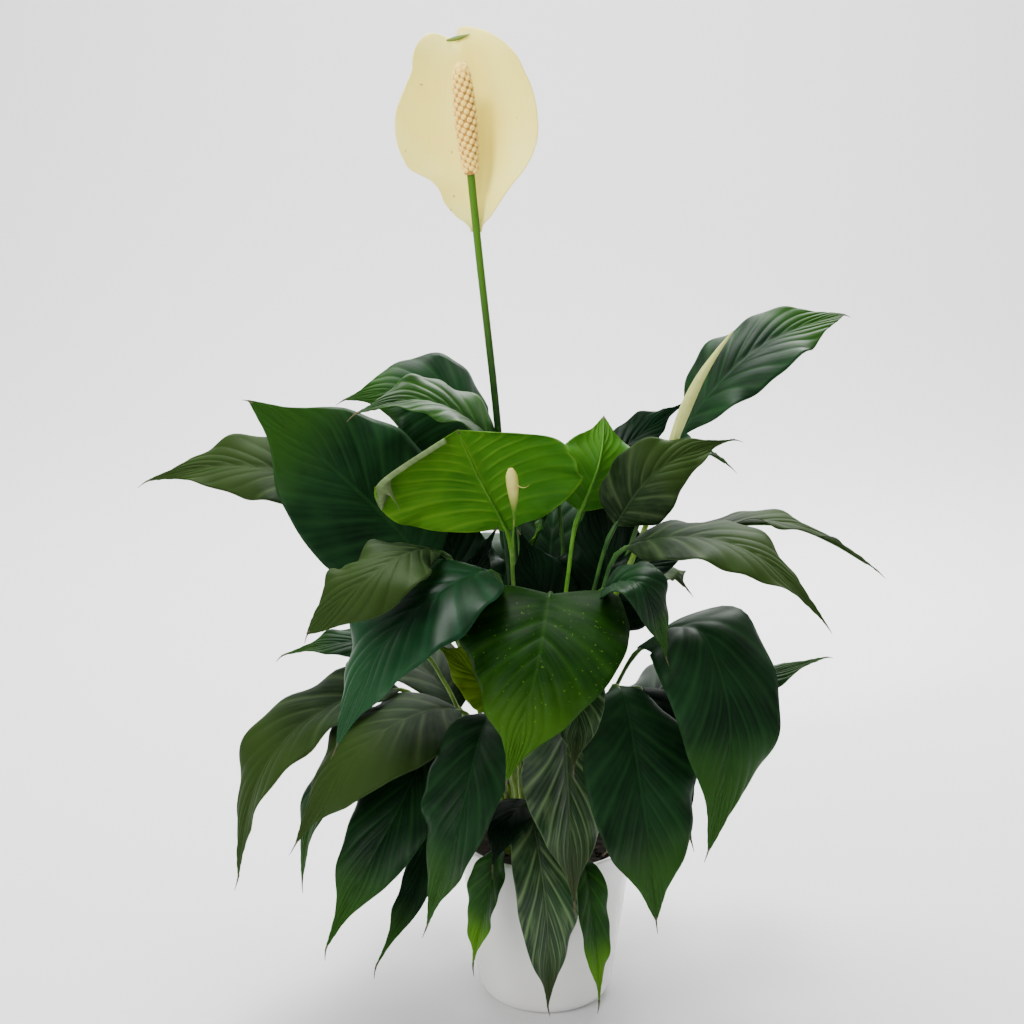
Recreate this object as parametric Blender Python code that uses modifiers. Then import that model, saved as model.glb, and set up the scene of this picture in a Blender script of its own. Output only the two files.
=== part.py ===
"""A potted peace lily: white cachepot, nursery pot, soil, leaves, one open flower and two buds.

Built in metres, +Z up, the front of the plant towards -Y. The origin is on the surface that
the cachepot stands on, on the pot's own axis. Every leaf is one loft: a stalk that is set in
a hole in the soil and carries on as the blade's midrib. The leaves' places are chosen by hand,
by where they show from the front and how deep they lie, or by their bearing from the crown, and
make_room then moves them until none touches another.
"""

import math
import random
from dataclasses import dataclass, replace

import bmesh
import bpy
import numpy as np
from mathutils import Vector
from mathutils.bvhtree import BVHTree

MM = 0.001
FIT = 0.3 * MM  # gap between touching pieces
MERGE = 0.01 * MM  # points this near are one point
SHARP_EDGE = math.radians(40)

# Cachepot, a glazed pot that tapers to a rounded foot
POT_HEIGHT = 135 * MM
RIM_RADIUS = 70 * MM
WALL_FOOT_RADIUS = 52 * MM  # where the tapering wall would meet the table
FOOT_ROUNDING = 14 * MM
POT_WALL = 4 * MM
POT_FLOOR = 6 * MM
FLOOR_ROUNDING = 6 * MM  # between the floor and the inside of the wall
TURNED_STEPS = 48

# Nursery pot, thin black plastic that stands loose in the cachepot
LINER_WALL = 1.2 * MM
LINER_FOOT = POT_FLOOR + FIT
LINER_TOP = LINER_FOOT + 125 * MM
LINER_FLOOR_RADIUS = 43 * MM
LINER_TOP_RADIUS = 62.4 * MM
LINER_RIM = 2.2 * MM  # how far the rim stands out, and its depth
DRAIN_HOLES = 5
DRAIN_RADIUS = 4 * MM
DRAIN_CIRCLE = 28 * MM
DRAIN_SIDES = 16

# Soil, and the crown that all stalks grow from
SOIL_TOP = 124 * MM
SOIL_MOUND = 1.5 * MM
SHOULDER_REACH = 0.55  # of the soil's radius, where the mound starts to fall
SHOULDER_RISE = 0.75  # of the mound's height, there
CROWN = (-8 * MM, 0.0)
CROWN_SPACING = 4.7 * MM
GOLDEN_ANGLE = math.radians(137.508)  # each new stalk turns this far round the crown
FOOT_DEPTH = 8.4 * MM  # how far a stalk reaches into the soil
SOCKET_RADIUS = 3.2 * MM
SOCKET_SIDES = 8
CLEAR = 4 * MM  # how far a cutter runs past what it cuts
FLOWER_FEET = {"bud_tall": 0, "flower_stalk": 1, "bud_small": 2}  # the middle of the crown

# Leaf stalks and blades
STALK_RADIUS = 2.6 * MM
STALK_TAPER = 0.38
STALK_RISE = 4 * MM  # a stalk leaves the soil upright to this height
COLLAR_RADIUS = 1.6 * MM  # the stalk where the blade begins
BLADE_THICKNESS = 1.0 * MM
MIDRIB_DEPTH = 0.9 * MM
TIP_HALF_WIDTH = 0.35 * MM
UPRIGHT = 2  # how strongly a stalk's foot is turned upright
COLLAR_SHARE = 0.05  # of the blade, where the round stalk flattens into it
FOLD_SHARE = 0.08  # where the fold has opened
LOBE_START = 0.02
LOBE_SHARE = 0.09  # over which a lobe dies out
LOBE_SWEEP = 1.5
CURVE_STEPS = 40
STALK_STATIONS = np.array([0.0, 0.4, 0.8])
BLADE_STATIONS = np.array([0.0, 0.04, 0.13, 0.27, 0.43, 0.60, 0.77, 0.91, 1.0])

# Room between leaves
FRONT = np.array([-27, -1500, 800]) * MM  # the side that the leaves keep their outline from
ELBOW_ROOM = 1.6 * MM  # least gap that make_room works for
MOST_MOVES = 8000
CHANGES = {"slide": 4, "lean": 8, "roll": 3, "fold": 2, "bow": 2, "twist": 1}  # how often each is tried
CHANGE_SIZES = (0.3, 0.7, 1.3)
SLIDE = 14  # millimetres along the line of sight
TURN = 5  # degrees
BEND = 0.08
ROLL_RANGE = 6
TWIST_RANGE = 8
FOLD_RANGE = 0.15
BOW_RANGE = (-0.25, 0.35)
FREE_STRAY = 20  # millimetres that a place may move at no cost
STRAY_COST = 0.02
FOOT_SWAPS = 0.12  # share of the moves in which two leaves change feet
NEIGHBOUR = 22 * MM
SEED = 6

for old in list(bpy.data.objects):
    bpy.data.objects.remove(old, do_unlink=True)
plant = bpy.data.collections.new("potted_peace_lily")
cutters = bpy.data.collections.new("cutters")
for group in (plant, cutters):
    bpy.context.scene.collection.children.link(group)


def material(name, colour, roughness, coat=0.0):
    made = bpy.data.materials.new(name)
    made.use_nodes = True
    shader = made.node_tree.nodes["Principled BSDF"]
    shader.inputs["Base Color"].default_value = (*colour, 1.0)
    shader.inputs["Roughness"].default_value = roughness
    shader.inputs["Metallic"].default_value = 0.0
    shader.inputs["Coat Weight"].default_value = coat
    return made


def piece(name, mesh, finish, group=plant):
    """An object of this mesh, shaded smooth except at sharp edges."""
    made = bpy.data.objects.new(name, mesh)
    group.objects.link(made)
    if finish:
        mesh.materials.append(finish)
    mesh.shade_smooth()
    mesh.set_sharp_from_angle(angle=SHARP_EDGE)
    return made


def turned(name, profile, finish):
    """A profile of (radius, height) points, turned round the Z axis."""
    points = [(radius, 0.0, height) for radius, height in profile]
    edges = [(first, first + 1) for first in range(len(points) - 1)]
    mesh = bpy.data.meshes.new(name)
    mesh.from_pydata(points, edges, [])
    made = piece(name, mesh, finish)
    screw = made.modifiers.new("turn", "SCREW")
    screw.steps = screw.render_steps = TURNED_STEPS
    screw.use_merge_vertices = True
    screw.merge_threshold = MERGE
    return made


def arc(centre, radius, start, end, count):
    """Points along an arc of a profile, from one angle in degrees to another."""
    angles = np.radians(np.linspace(start, end, count))
    return [(centre[0] + radius * math.cos(a), centre[1] + radius * math.sin(a)) for a in angles]


def cut(target, cutter):
    cutter.hide_render = True
    cutter.display_type = "WIRE"
    boolean = target.modifiers.new(cutter.name, "BOOLEAN")
    boolean.operation = "DIFFERENCE"
    boolean.solver = "EXACT"
    boolean.object = cutter


def pegs(name, places, radius, low, high, sides):
    """A cutter of upright pegs at these places."""
    mesh = bpy.data.meshes.new(name)
    shape = bmesh.new()
    for x, y in places:
        added = bmesh.ops.create_cone(
            shape,
            cap_ends=True,
            segments=sides,
            radius1=radius,
            radius2=radius,
            depth=high - low,
        )
        bmesh.ops.translate(shape, verts=added["verts"], vec=(x, y, (low + high) / 2))
    shape.to_mesh(mesh)
    shape.free()
    return piece(name, mesh, None, cutters)


def unit(vectors):
    return vectors / np.linalg.norm(vectors, axis=-1, keepdims=True)


def smooth_curve(points):
    """A smooth curve through the points, with its tangents set by the spacing of the points."""
    p = np.array(points, float)
    gaps = np.linalg.norm(np.diff(p, axis=0), axis=1)[:, None]
    slopes = np.diff(p, axis=0) / gaps
    tangents = np.empty_like(p)
    tangents[1:-1] = (slopes[:-1] * gaps[1:] + slopes[1:] * gaps[:-1]) / (gaps[:-1] + gaps[1:])
    tangents[0] = 1.5 * slopes[0] - 0.5 * tangents[1]
    tangents[-1] = 1.5 * slopes[-1] - 0.5 * tangents[-2]
    u = (np.arange(CURVE_STEPS) / CURVE_STEPS)[None, :, None]
    start, end = p[:-1, None], p[1:, None]
    leave, arrive = (gaps * tangents[:-1])[:, None], (gaps * tangents[1:])[:, None]
    curve = (2 * u**3 - 3 * u**2 + 1) * start + (u**3 - 2 * u**2 + u) * leave
    curve = curve + (3 * u**2 - 2 * u**3) * end + (u**3 - u**2) * arrive
    return np.vstack([curve.reshape(-1, 3), p[-1]])


def along(curve, shares):
    """Points at these shares of the curve's length."""
    reached = np.concatenate([[0], np.cumsum(np.linalg.norm(np.diff(curve, axis=0), axis=1))])
    return np.stack([np.interp(shares, reached / reached[-1], curve[:, k]) for k in range(3)], 1)


def directions(curve, points):
    """The curve's direction where it passes nearest to each point."""
    near = ((curve[None] - points[:, None]) ** 2).sum(2).argmin(1)
    last = len(curve) - 1
    return unit(curve[np.minimum(near + 1, last)] - curve[np.maximum(near - 1, 0)])


def skin_faces(rings, sides):
    """Faces of a closed skin over rings of points, with a strip of faces over each end."""
    faces = []
    for ring in range(rings - 1):
        for side in range(sides):
            here = ring * sides + side
            beside = ring * sides + (side + 1) % sides
            faces.append((here, beside, beside + sides, here + sides))
    last = (rings - 1) * sides
    for k in range(sides // 2 - 1):
        near, far = (k + 1) % sides, (k + 2) % sides
        across, beyond = (sides - k) % sides, sides - k - 1
        faces.append((near, across, beyond, far))
        faces.append((last + near, last + far, last + beyond, last + across))
    return faces


def split_alike(faces, sides):
    """The faces as triangles, cut alike over and under a blade, so that its two sides stay apart."""
    triangles = []
    for number, (first, second, third, fourth) in enumerate(faces):
        if number % sides < sides // 2:
            triangles += [(first, second, third), (first, third, fourth)]
        else:
            triangles += [(first, second, fourth), (second, third, fourth)]
    return triangles


def loft(name, rings, finish):
    """A closed skin over these rings, an array of (ring, point, coordinate)."""
    mesh = bpy.data.meshes.new(name)
    points = [tuple(p) for p in rings.reshape(-1, 3)]
    count, sides = rings.shape[:2]
    mesh.from_pydata(points, [], split_alike(skin_faces(count, sides), sides))
    return piece(name, mesh, finish)


def stem(name, path, radii, finish):
    """A round stem: a curve through these places, with its radius at each."""
    line = bpy.data.curves.new(name, "CURVE")
    line.dimensions = "3D"
    line.bevel_depth = MM
    line.bevel_resolution = 2
    line.use_fill_caps = True
    line.materials.append(finish)
    spline = line.splines.new("POLY")
    spline.points.add(len(path) - 1)
    for point, place, radius in zip(spline.points, path, radii):
        point.co = (*place, 1.0)
        point.radius = radius / MM
    made = bpy.data.objects.new(name, line)
    plant.objects.link(made)
    return made


def slid(place, depth):
    """The place, moved this many millimetres away along the line of sight from the front."""
    sight = np.array(place) - FRONT / MM
    return tuple(np.array(place) + sight / sight[1] * depth)


def seen(across, height, depth):
    """A place by where it shows from the front, on the upright plane through the pot's axis.

    depth is how far it lies behind that plane. All are in millimetres.
    """
    return slid((across, 0, height), depth)


def around(bearing, reach, height):
    """A place by its bearing from the crown in degrees, its distance from it and its height."""
    turn = math.radians(bearing)
    return (CROWN[0] / MM + reach * math.cos(turn), CROWN[1] / MM + reach * math.sin(turn), height)


def foot_of(slot):
    """Where a stalk stands: the crown's spiral, counted from its middle."""
    turn = GOLDEN_ANGLE * slot
    reach = CROWN_SPACING * math.sqrt(slot + 0.5)
    return (CROWN[0] + reach * math.cos(turn), CROWN[1] + reach * math.sin(turn))


def ground_points(slot):
    """A stalk's lowest point, in the soil, and the point where it starts to lean."""
    foot = foot_of(slot)
    return np.array([*foot, SOIL_TOP - FOOT_DEPTH]), np.array([*foot, SOIL_TOP + STALK_RISE])


@dataclass
class Leaf:
    """One leaf, from its foot in the soil to its tip. Places and width are in millimetres.

    collar is where the stalk ends and the blade begins, crest a point of the midrib halfway,
    and rise, where a leaf has one, a point between the two. roll and twist turn the blade about
    its midrib, in degrees: all of it, and more to its tip. fold lifts both edges from the midrib
    and curl bends them down again. base and full round the blade's two ends, and lobe draws its
    base back round the stalk. skew widens its left half. bow bends the stalk out or in. head is
    the compass bearing that the blade faces, where it isn't from collar to tip.
    """

    name: str
    collar: tuple
    crest: tuple
    tip: tuple
    width: float
    roll: float = 0.0
    rise: tuple = None
    twist: float = 0.0
    fold: float = 0.25
    curl: float = 0.25
    full: float = 1.25
    base: float = 0.62
    lobe: float = 0.0
    skew: float = 0.0
    bow: float = 0.12
    head: float = None
    slot: int = 0


EDGES = np.array([1, 0.5, 0, -0.5, -1, -0.5, 0, 0.5])  # a section's points, across the blade
FACES = np.array([0, 1, 1, 1, 0, -1, -1, -1])  # each one's side of the blade, upper or under
UNDER_MIDRIB = 6
ROUND = np.radians(360 / len(EDGES) * np.arange(len(EDGES)))


def blade_width(leaf, share):
    """A blade's width along its length, 1 at its widest."""
    widest = leaf.base / (leaf.base + leaf.full)
    share = np.clip(share, 1e-6, 1)
    return (share / widest) ** leaf.base * ((1 - share) / (1 - widest)) ** leaf.full


def leaf_rings(leaf, room=0.0):
    """The leaf's sections, from its foot to its tip. room makes it that much thicker and wider."""
    low, ground = ground_points(leaf.slot)
    collar, crest, tip = (np.array(place) * MM for place in (leaf.collar, leaf.crest, leaf.tip))
    lean = (ground + collar) / 2 - leaf.bow * (collar - ground) * (1, 1, 0)
    rise = [np.array(leaf.rise) * MM] if leaf.rise is not None else []
    curve = smooth_curve([low, ground, lean, collar, *rise, crest, tip])
    stalk, blade = curve[CURVE_STEPS : 3 * CURVE_STEPS + 1], curve[3 * CURVE_STEPS :]
    places = np.vstack([low, along(stalk, STALK_STATIONS), along(blade, BLADE_STATIONS)])
    ahead = directions(curve, places)
    ahead[0] = (0, 0, 1)
    ahead[1] = unit(ahead[1] + (0, 0, UPRIGHT))
    course = (tip - collar) * (1, 1, 0)
    if leaf.head is not None:
        bearing = math.radians(leaf.head)
        course = np.array([math.cos(bearing), math.sin(bearing), 0])
    side = unit(np.array([-course[1], course[0], 0.0]))
    across = unit(side - (ahead @ side)[:, None] * ahead)
    up = np.cross(ahead, across)
    below = len(STALK_STATIONS) + 1
    climb = np.arange(below) / below
    share = np.concatenate([np.zeros(below), BLADE_STATIONS])
    turn = np.concatenate([leaf.roll * climb, leaf.roll + leaf.twist * BLADE_STATIONS])
    turn = np.radians(turn)[:, None]
    across, up = across * np.cos(turn) + up * np.sin(turn), up * np.cos(turn) - across * np.sin(turn)

    radius = np.full(len(places), COLLAR_RADIUS)
    radius[:below] = STALK_RADIUS * (1 - STALK_TAPER * climb)
    radius = (radius + room / 2)[:, None]
    half = np.maximum(leaf.width * MM / 2 * blade_width(leaf, share), TIP_HALF_WIDTH)
    half = (half + room / 2)[:, None]
    share = share[:, None]
    rounded = np.clip(1 - share / COLLAR_SHARE, 0, 1)
    thick = np.tile(FACES * (BLADE_THICKNESS + room) / 2, (len(places), 1))
    thick[:, UNDER_MIDRIB] -= MIDRIB_DEPTH * (1 - share[:, 0])
    shape = (leaf.fold * abs(EDGES) - leaf.curl * EDGES**2) * half
    shape = shape * np.clip(share / FOLD_SHARE, 0, 1)
    wide = EDGES * (1 - rounded) * half * (1 + leaf.skew * np.sign(EDGES))
    wide = wide + rounded * radius * np.cos(ROUND)
    high = thick * (1 - rounded) + rounded * radius * np.sin(ROUND) + shape
    back = leaf.lobe * half * abs(EDGES) ** LOBE_SWEEP * np.exp(-share / LOBE_SHARE)
    back = back * (share > LOBE_START)
    offset = wide[..., None] * across[:, None] + high[..., None] * up[:, None]
    return places[:, None] + offset - back[..., None] * ahead[:, None]


def felt_skin(points, faces):
    """A surface that others can be tested against, and the corners of its box."""
    points = np.asarray(points)
    return BVHTree.FromPolygons(points.tolist(), faces), points.min(0), points.max(0)


def felt_leaf(leaf):
    rings = leaf_rings(leaf, ELBOW_ROOM)
    return felt_skin(rings.reshape(-1, 3), skin_faces(*rings.shape[:2]))


def felt_piece(made):
    graph = bpy.context.evaluated_depsgraph_get()
    shown = made.evaluated_get(graph)
    mesh = shown.to_mesh()
    points = [made.matrix_world @ corner.co for corner in mesh.vertices]
    skin = felt_skin(points, [tuple(face.vertices) for face in mesh.polygons])
    shown.to_mesh_clear()
    return skin


def cuts_between(first, second):
    """How many pairs of faces cut through each other."""
    if (first[1] > second[2]).any() or (second[1] > first[2]).any():
        return 0
    return len(first[0].overlap(second[0]))


def places_of(leaf):
    return ["collar", "crest", "tip"] + (["rise"] if leaf.rise is not None else [])


def tether(leaf, home):
    """What it costs a leaf to stray from the place chosen for it."""
    strays = [math.dist(getattr(leaf, name), getattr(home, name)) for name in places_of(leaf)]
    return sum(STRAY_COST * max(0, stray - FREE_STRAY) ** 2 for stray in strays)


def held(value, least, most):
    return min(max(value, least), most)


def nudged(leaf, home, chance):
    """The leaf after one small change of its place or its shape."""
    names = places_of(leaf)
    size = chance.choice(CHANGE_SIZES)
    kind = chance.choices(list(CHANGES), list(CHANGES.values()))[0]
    if kind == "slide":
        depth = chance.gauss(0, SLIDE * size)
        return replace(leaf, **{name: slid(getattr(leaf, name), depth) for name in names})
    if kind == "lean":
        name = chance.choice(names)
        return replace(leaf, **{name: slid(getattr(leaf, name), chance.gauss(0, SLIDE * size))})
    if kind == "roll":
        roll = leaf.roll + chance.gauss(0, TURN * size)
        return replace(leaf, roll=held(roll, home.roll - ROLL_RANGE, home.roll + ROLL_RANGE))
    if kind == "fold":
        fold = leaf.fold + chance.gauss(0, BEND)
        return replace(leaf, fold=held(fold, home.fold - FOLD_RANGE, home.fold + FOLD_RANGE))
    if kind == "bow":
        return replace(leaf, bow=held(leaf.bow + chance.gauss(0, BEND), *BOW_RANGE))
    return replace(leaf, twist=held(leaf.twist + chance.gauss(0, TURN), -TWIST_RANGE, TWIST_RANGE))


def cuts_of(index, skins, felt):
    """How often a leaf that has moved cuts each leaf; skins holds those that moved."""
    others = [skins.get(number, skin) for number, skin in enumerate(felt)]
    cuts = [cuts_between(skins[index], other) for other in others]
    cuts[index] = 0
    return np.array(cuts)


def take_feet(leaves, taken):
    """Gives each leaf the free foot nearest to its side of the crown, short leaves innermost."""
    free = [slot for slot in range(len(leaves) + len(taken)) if slot not in taken]
    reach = [math.dist(leaf.collar[:2], np.array(CROWN) / MM) for leaf in leaves]
    widest = math.dist(foot_of(len(free) + len(taken) - 1), CROWN)
    seated = list(leaves)
    for rank, index in enumerate(np.argsort(reach)):
        heading = np.array(leaves[index].collar[:2]) * MM - CROWN
        wanted = CROWN + unit(heading) * widest * math.sqrt((rank + 0.5) / len(leaves))
        slot = min(free, key=lambda number: math.dist(foot_of(number), wanted))
        free.remove(slot)
        seated[index] = replace(leaves[index], slot=slot)
    return seated


def make_room(leaves, fixed):
    """Moves the leaves until none cuts through another or through a fixed piece.

    A leaf slides its places along the line of sight from the front, which keeps its outline
    from there, turns or bends a little, or changes feet with a neighbour. A change is kept
    where it leaves no more cuts than before.
    """
    chance = random.Random(SEED)
    home = list(leaves)
    leaves = list(leaves)
    felt = [felt_leaf(leaf) for leaf in leaves]
    cuts = np.array([[cuts_between(a, b) if a is not b else 0 for b in felt] for a in felt])
    walls = np.array([sum(cuts_between(skin, wall) for wall in fixed) for skin in felt])
    for move in range(MOST_MOVES):
        tight = np.nonzero(cuts.sum(1) + walls)[0].tolist()
        if not tight:
            return leaves
        first = chance.choice(tight)
        trial = {first: nudged(leaves[first], home[first], chance)}
        if chance.random() < FOOT_SWAPS:
            gaps = [math.dist(foot_of(leaves[first].slot), foot_of(leaf.slot)) for leaf in leaves]
            beside = [k for k, gap in enumerate(gaps) if 0 < gap < NEIGHBOUR]
            second = chance.choice(beside)
            trial = {
                first: replace(leaves[first], slot=leaves[second].slot),
                second: replace(leaves[second], slot=leaves[first].slot),
            }
        skins = {k: felt_leaf(leaf) for k, leaf in trial.items()}
        new = {k: cuts_of(k, skins, felt) for k in trial}
        new_walls = {k: sum(cuts_between(skins[k], wall) for wall in fixed) for k in trial}
        before = sum(cuts[k].sum() + walls[k] + tether(leaves[k], home[k]) for k in trial)
        after = sum(new[k].sum() + new_walls[k] + tether(trial[k], home[k]) for k in trial)
        if after > before:
            continue
        for k, leaf in trial.items():
            leaves[k], felt[k], walls[k] = leaf, skins[k], new_walls[k]
            cuts[k] = new[k]
            cuts[:, k] = new[k]
    raise RuntimeError("the leaves did not come apart: give them more room")


leaf_green = material("leaf_green", (0.035, 0.10, 0.022), 0.35, 0.2)
ceramic_white = material("ceramic_white", (0.80, 0.80, 0.78), 0.18, 0.5)
plastic_black = material("plastic_black", (0.012, 0.012, 0.013), 0.45)
soil_brown = material("soil_brown", (0.030, 0.020, 0.013), 0.95)
stalk_green = material("stalk_green", (0.16, 0.26, 0.05), 0.4)
spathe_cream = material("spathe_cream", (0.80, 0.78, 0.62), 0.5)
spadix_cream = material("spadix_cream", (0.78, 0.68, 0.40), 0.7)
bud_green = material("bud_green", (0.30, 0.42, 0.14), 0.45)
root_beige = material("root_beige", (0.45, 0.36, 0.24), 0.85)


def wall_radius(height):
    """The cachepot's outside, where it is a plain taper."""
    return WALL_FOOT_RADIUS + (RIM_RADIUS - WALL_FOOT_RADIUS) * height / POT_HEIGHT


def cachepot():
    lip = POT_WALL / 2
    foot = (wall_radius(FOOT_ROUNDING) - FOOT_ROUNDING, FOOT_ROUNDING)
    corner_height = POT_FLOOR + FLOOR_ROUNDING
    corner = (wall_radius(corner_height) - POT_WALL - FLOOR_ROUNDING, corner_height)
    inside = arc(corner, FLOOR_ROUNDING, -90, 0, 4)
    rim = arc((wall_radius(POT_HEIGHT - lip) - lip, POT_HEIGHT - lip), lip, 180, 0, 7)
    outside = arc(foot, FOOT_ROUNDING, 0, -90, 7)
    return turned("cachepot", [(0, POT_FLOOR), *inside, *rim, *outside, (0, 0)], ceramic_white)


def nursery_pot():
    rim_low = LINER_TOP - LINER_RIM
    rim_radius = LINER_TOP_RADIUS + LINER_RIM
    profile = [
        (0, LINER_FOOT + LINER_WALL),
        (LINER_FLOOR_RADIUS - LINER_WALL, LINER_FOOT + LINER_WALL),
        (LINER_TOP_RADIUS - LINER_WALL, LINER_TOP),
        (rim_radius, LINER_TOP),
        (rim_radius, rim_low),
        (LINER_TOP_RADIUS, rim_low),
        (LINER_FLOOR_RADIUS, LINER_FOOT),
        (0, LINER_FOOT),
    ]
    made = turned("nursery_pot", profile, plastic_black)
    turns = np.radians(360 / DRAIN_HOLES * np.arange(DRAIN_HOLES))
    holes = [(DRAIN_CIRCLE * math.cos(a), DRAIN_CIRCLE * math.sin(a)) for a in turns]
    drains = pegs("drain_holes", holes, DRAIN_RADIUS, LINER_FOOT - CLEAR, LINER_FOOT + CLEAR, DRAIN_SIDES)
    cut(made, drains)
    return made


def soil_radius(height):
    """The soil's outside, against the nursery pot's wall."""
    slope = (LINER_TOP_RADIUS - LINER_FLOOR_RADIUS) / (LINER_TOP - LINER_FOOT)
    return LINER_FLOOR_RADIUS - LINER_WALL - FIT + slope * (height - LINER_FOOT)


def soil_mound():
    """The soil's upper surface as (radius, height), from its middle to its edge."""
    edge = soil_radius(SOIL_TOP)
    shoulder = (SHOULDER_REACH * edge, SOIL_TOP + SHOULDER_RISE * SOIL_MOUND)
    return [(0, SOIL_TOP + SOIL_MOUND), shoulder, (edge, SOIL_TOP)]


def potting_soil(feet):
    """The soil inside the nursery pot, with a socket for each stalk's foot."""
    bottom = LINER_FOOT + LINER_WALL + FIT
    made = turned("potting_soil", [*soil_mound(), (soil_radius(bottom), bottom), (0, bottom)], soil_brown)
    low = SOIL_TOP - FOOT_DEPTH - FIT
    cut(made, pegs("sockets", feet, SOCKET_RADIUS, low, SOIL_TOP + CLEAR, SOCKET_SIDES))
    return made


def flower_stem(name, places, stations, radii, finish):
    """A stem from its foot in the soil through these places, in millimetres."""
    low, ground = ground_points(FLOWER_FEET[name])
    path = along(smooth_curve([low, ground, *(np.array(p) * MM for p in places)]), stations)
    path[0] = low
    return stem(name, path, np.array(radii) * MM, finish)


SPATHE_FOOT = np.array(seen(-53, 611, 14)) * MM
STALK_END = np.array(seen(-57, 653, 6)) * MM
SPADIX_TIP = np.array(seen(-67, 733, -4)) * MM
SPADIX_RADIUS = 9 * MM


def flower_stalk():
    places = [seen(-28, 340, 30), seen(-38, 468, 30), SPATHE_FOOT / MM, STALK_END / MM]
    stations = [0, 0.02, 0.1, 0.2, 0.32, 0.44, 0.56, 0.68, 0.8, 0.9, 0.96, 1]
    radii = np.linspace(2.6, 2.9, len(stations))
    return flower_stem("flower_stalk", places, stations, radii, stalk_green)


def bud_small():
    """A club-shaped bud on a thin stalk."""
    places = [seen(-21, 296, 0), seen(-27, 345, -42), seen(-26, 413, -60), seen(-28, 432, -62)]
    stations = [0, 0.03, 0.2, 0.4, 0.6, 0.8, 0.905, 0.925, 0.95, 0.975, 0.99, 1]
    radii = [2.4, 2.2, 1.9, 1.7, 1.6, 1.5, 1.5, 2.8, 4.1, 4.5, 3.8, 1.8]
    return flower_stem("bud_small", places, stations, radii, bud_green)


def bud_tall():
    """A flower still rolled in its spathe, on a long stalk."""
    low = [seen(50, 330, -20), seen(78, 392, -8), seen(94, 452, 4)]
    places = [*low, seen(115, 504, 8), seen(137, 537, 10)]
    stations = [0, 0.03, 0.2, 0.4, 0.6, 0.72, 0.76, 0.81, 0.86, 0.91, 0.96, 1]
    radii = [2.6, 2.5, 2.4, 2.3, 2.2, 2.1, 2.6, 4.0, 4.5, 3.5, 1.9, 0.6]
    return flower_stem("bud_tall", places, stations, radii, bud_green)


def spathe():
    """The flower's hood: a cupped blade that clasps the stalk and stands behind the spadix."""
    clasp_radius = 3.9 * MM
    clasp_share, clasp_turn = 0.07, 95  # how far up it clasps, and how far round in degrees
    cup_share, cup_depth, cup_round = 0.2, 0.34, 0.6
    rise = np.array([0, 0.03, 0.07, 0.13, 0.2, 0.28, 0.36, 0.46, 0.58, 0.7, 0.8, 0.9, 0.97, 1])
    marks = [0, 0.06, 0.14, 0.2, 0.3, 0.42, 0.58, 0.73, 0.85, 1]
    left = np.interp(rise, marks, [3, 11, 22, 24, 42, 51, 49, 41, 33, 22])
    right = np.interp(rise, marks, [3, 11, 20, 27, 42, 51, 53, 48, 40, 24])
    offsets = np.array([(0, 0, 0), (-5, 12, 46), (-10, 16, 95), (-14, 6, 146)]) * MM
    spine = along(smooth_curve(SPATHE_FOOT + offsets), rise)
    across = np.array([1, 0.75, 0.5, 0.25, 0, -0.25, -0.5, -0.75, -1])
    width = np.where(across > 0, right[:, None], left[:, None]) * MM * across
    cup = cup_depth * abs(width) * abs(across) ** cup_round
    cup = cup * np.clip(rise / cup_share, 0, 1)[:, None]
    open_out = np.clip(rise / clasp_share, 0, 1)[:, None]
    turn = np.radians(clasp_turn * across)
    sideways = open_out * width + (1 - open_out) * clasp_radius * np.sin(turn)
    backward = clasp_radius * (1 - open_out) * np.cos(turn) + open_out * (clasp_radius - cup)
    middle = spine[:, None] + np.stack([sideways, backward, np.zeros_like(width)], 2)
    outward = unit(np.cross(np.gradient(middle, axis=1), np.gradient(middle, axis=0)))
    centre = len(across) // 2
    outward = outward * np.sign(outward[:, centre : centre + 1, 1:2])
    thick = outward * BLADE_THICKNESS / 2
    rings = np.concatenate([middle + thick, (middle - thick)[:, -2:0:-1]], 1)
    return loft("spathe", rings, spathe_cream)


def spadix():
    """The flower spike, with a rounded top, standing on the end of its stalk."""
    axis = SPADIX_TIP - STALK_END
    length = np.linalg.norm(axis)
    foot, belly, neck = 3 * MM, SPADIX_RADIUS, 7.6 * MM
    sides = [(belly, length / 2), (belly * 0.94, 6 * MM), (foot, 0), (0, 0)]
    made = turned("spadix", [*arc((0, length - neck), neck, 90, 0, 5), *sides], spadix_cream)
    made.location = STALK_END + unit(axis) * FIT
    made.rotation_mode = "QUATERNION"
    made.rotation_quaternion = Vector(axis).to_track_quat("Z", "Y")
    return made


def dry_root():
    """A dead root that lies on the soil."""
    plan = np.array([(44, -25), (48, -12), (52, -2), (56, 11)]) * MM
    radii = np.array([0.7, 1.2, 1.1, 0.6]) * MM
    reach, height = zip(*soil_mound())
    ground = np.interp(np.linalg.norm(plan, axis=1), reach, height)
    return stem("dry_root", np.column_stack([plan, ground + FIT + radii]), radii, root_beige)


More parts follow.
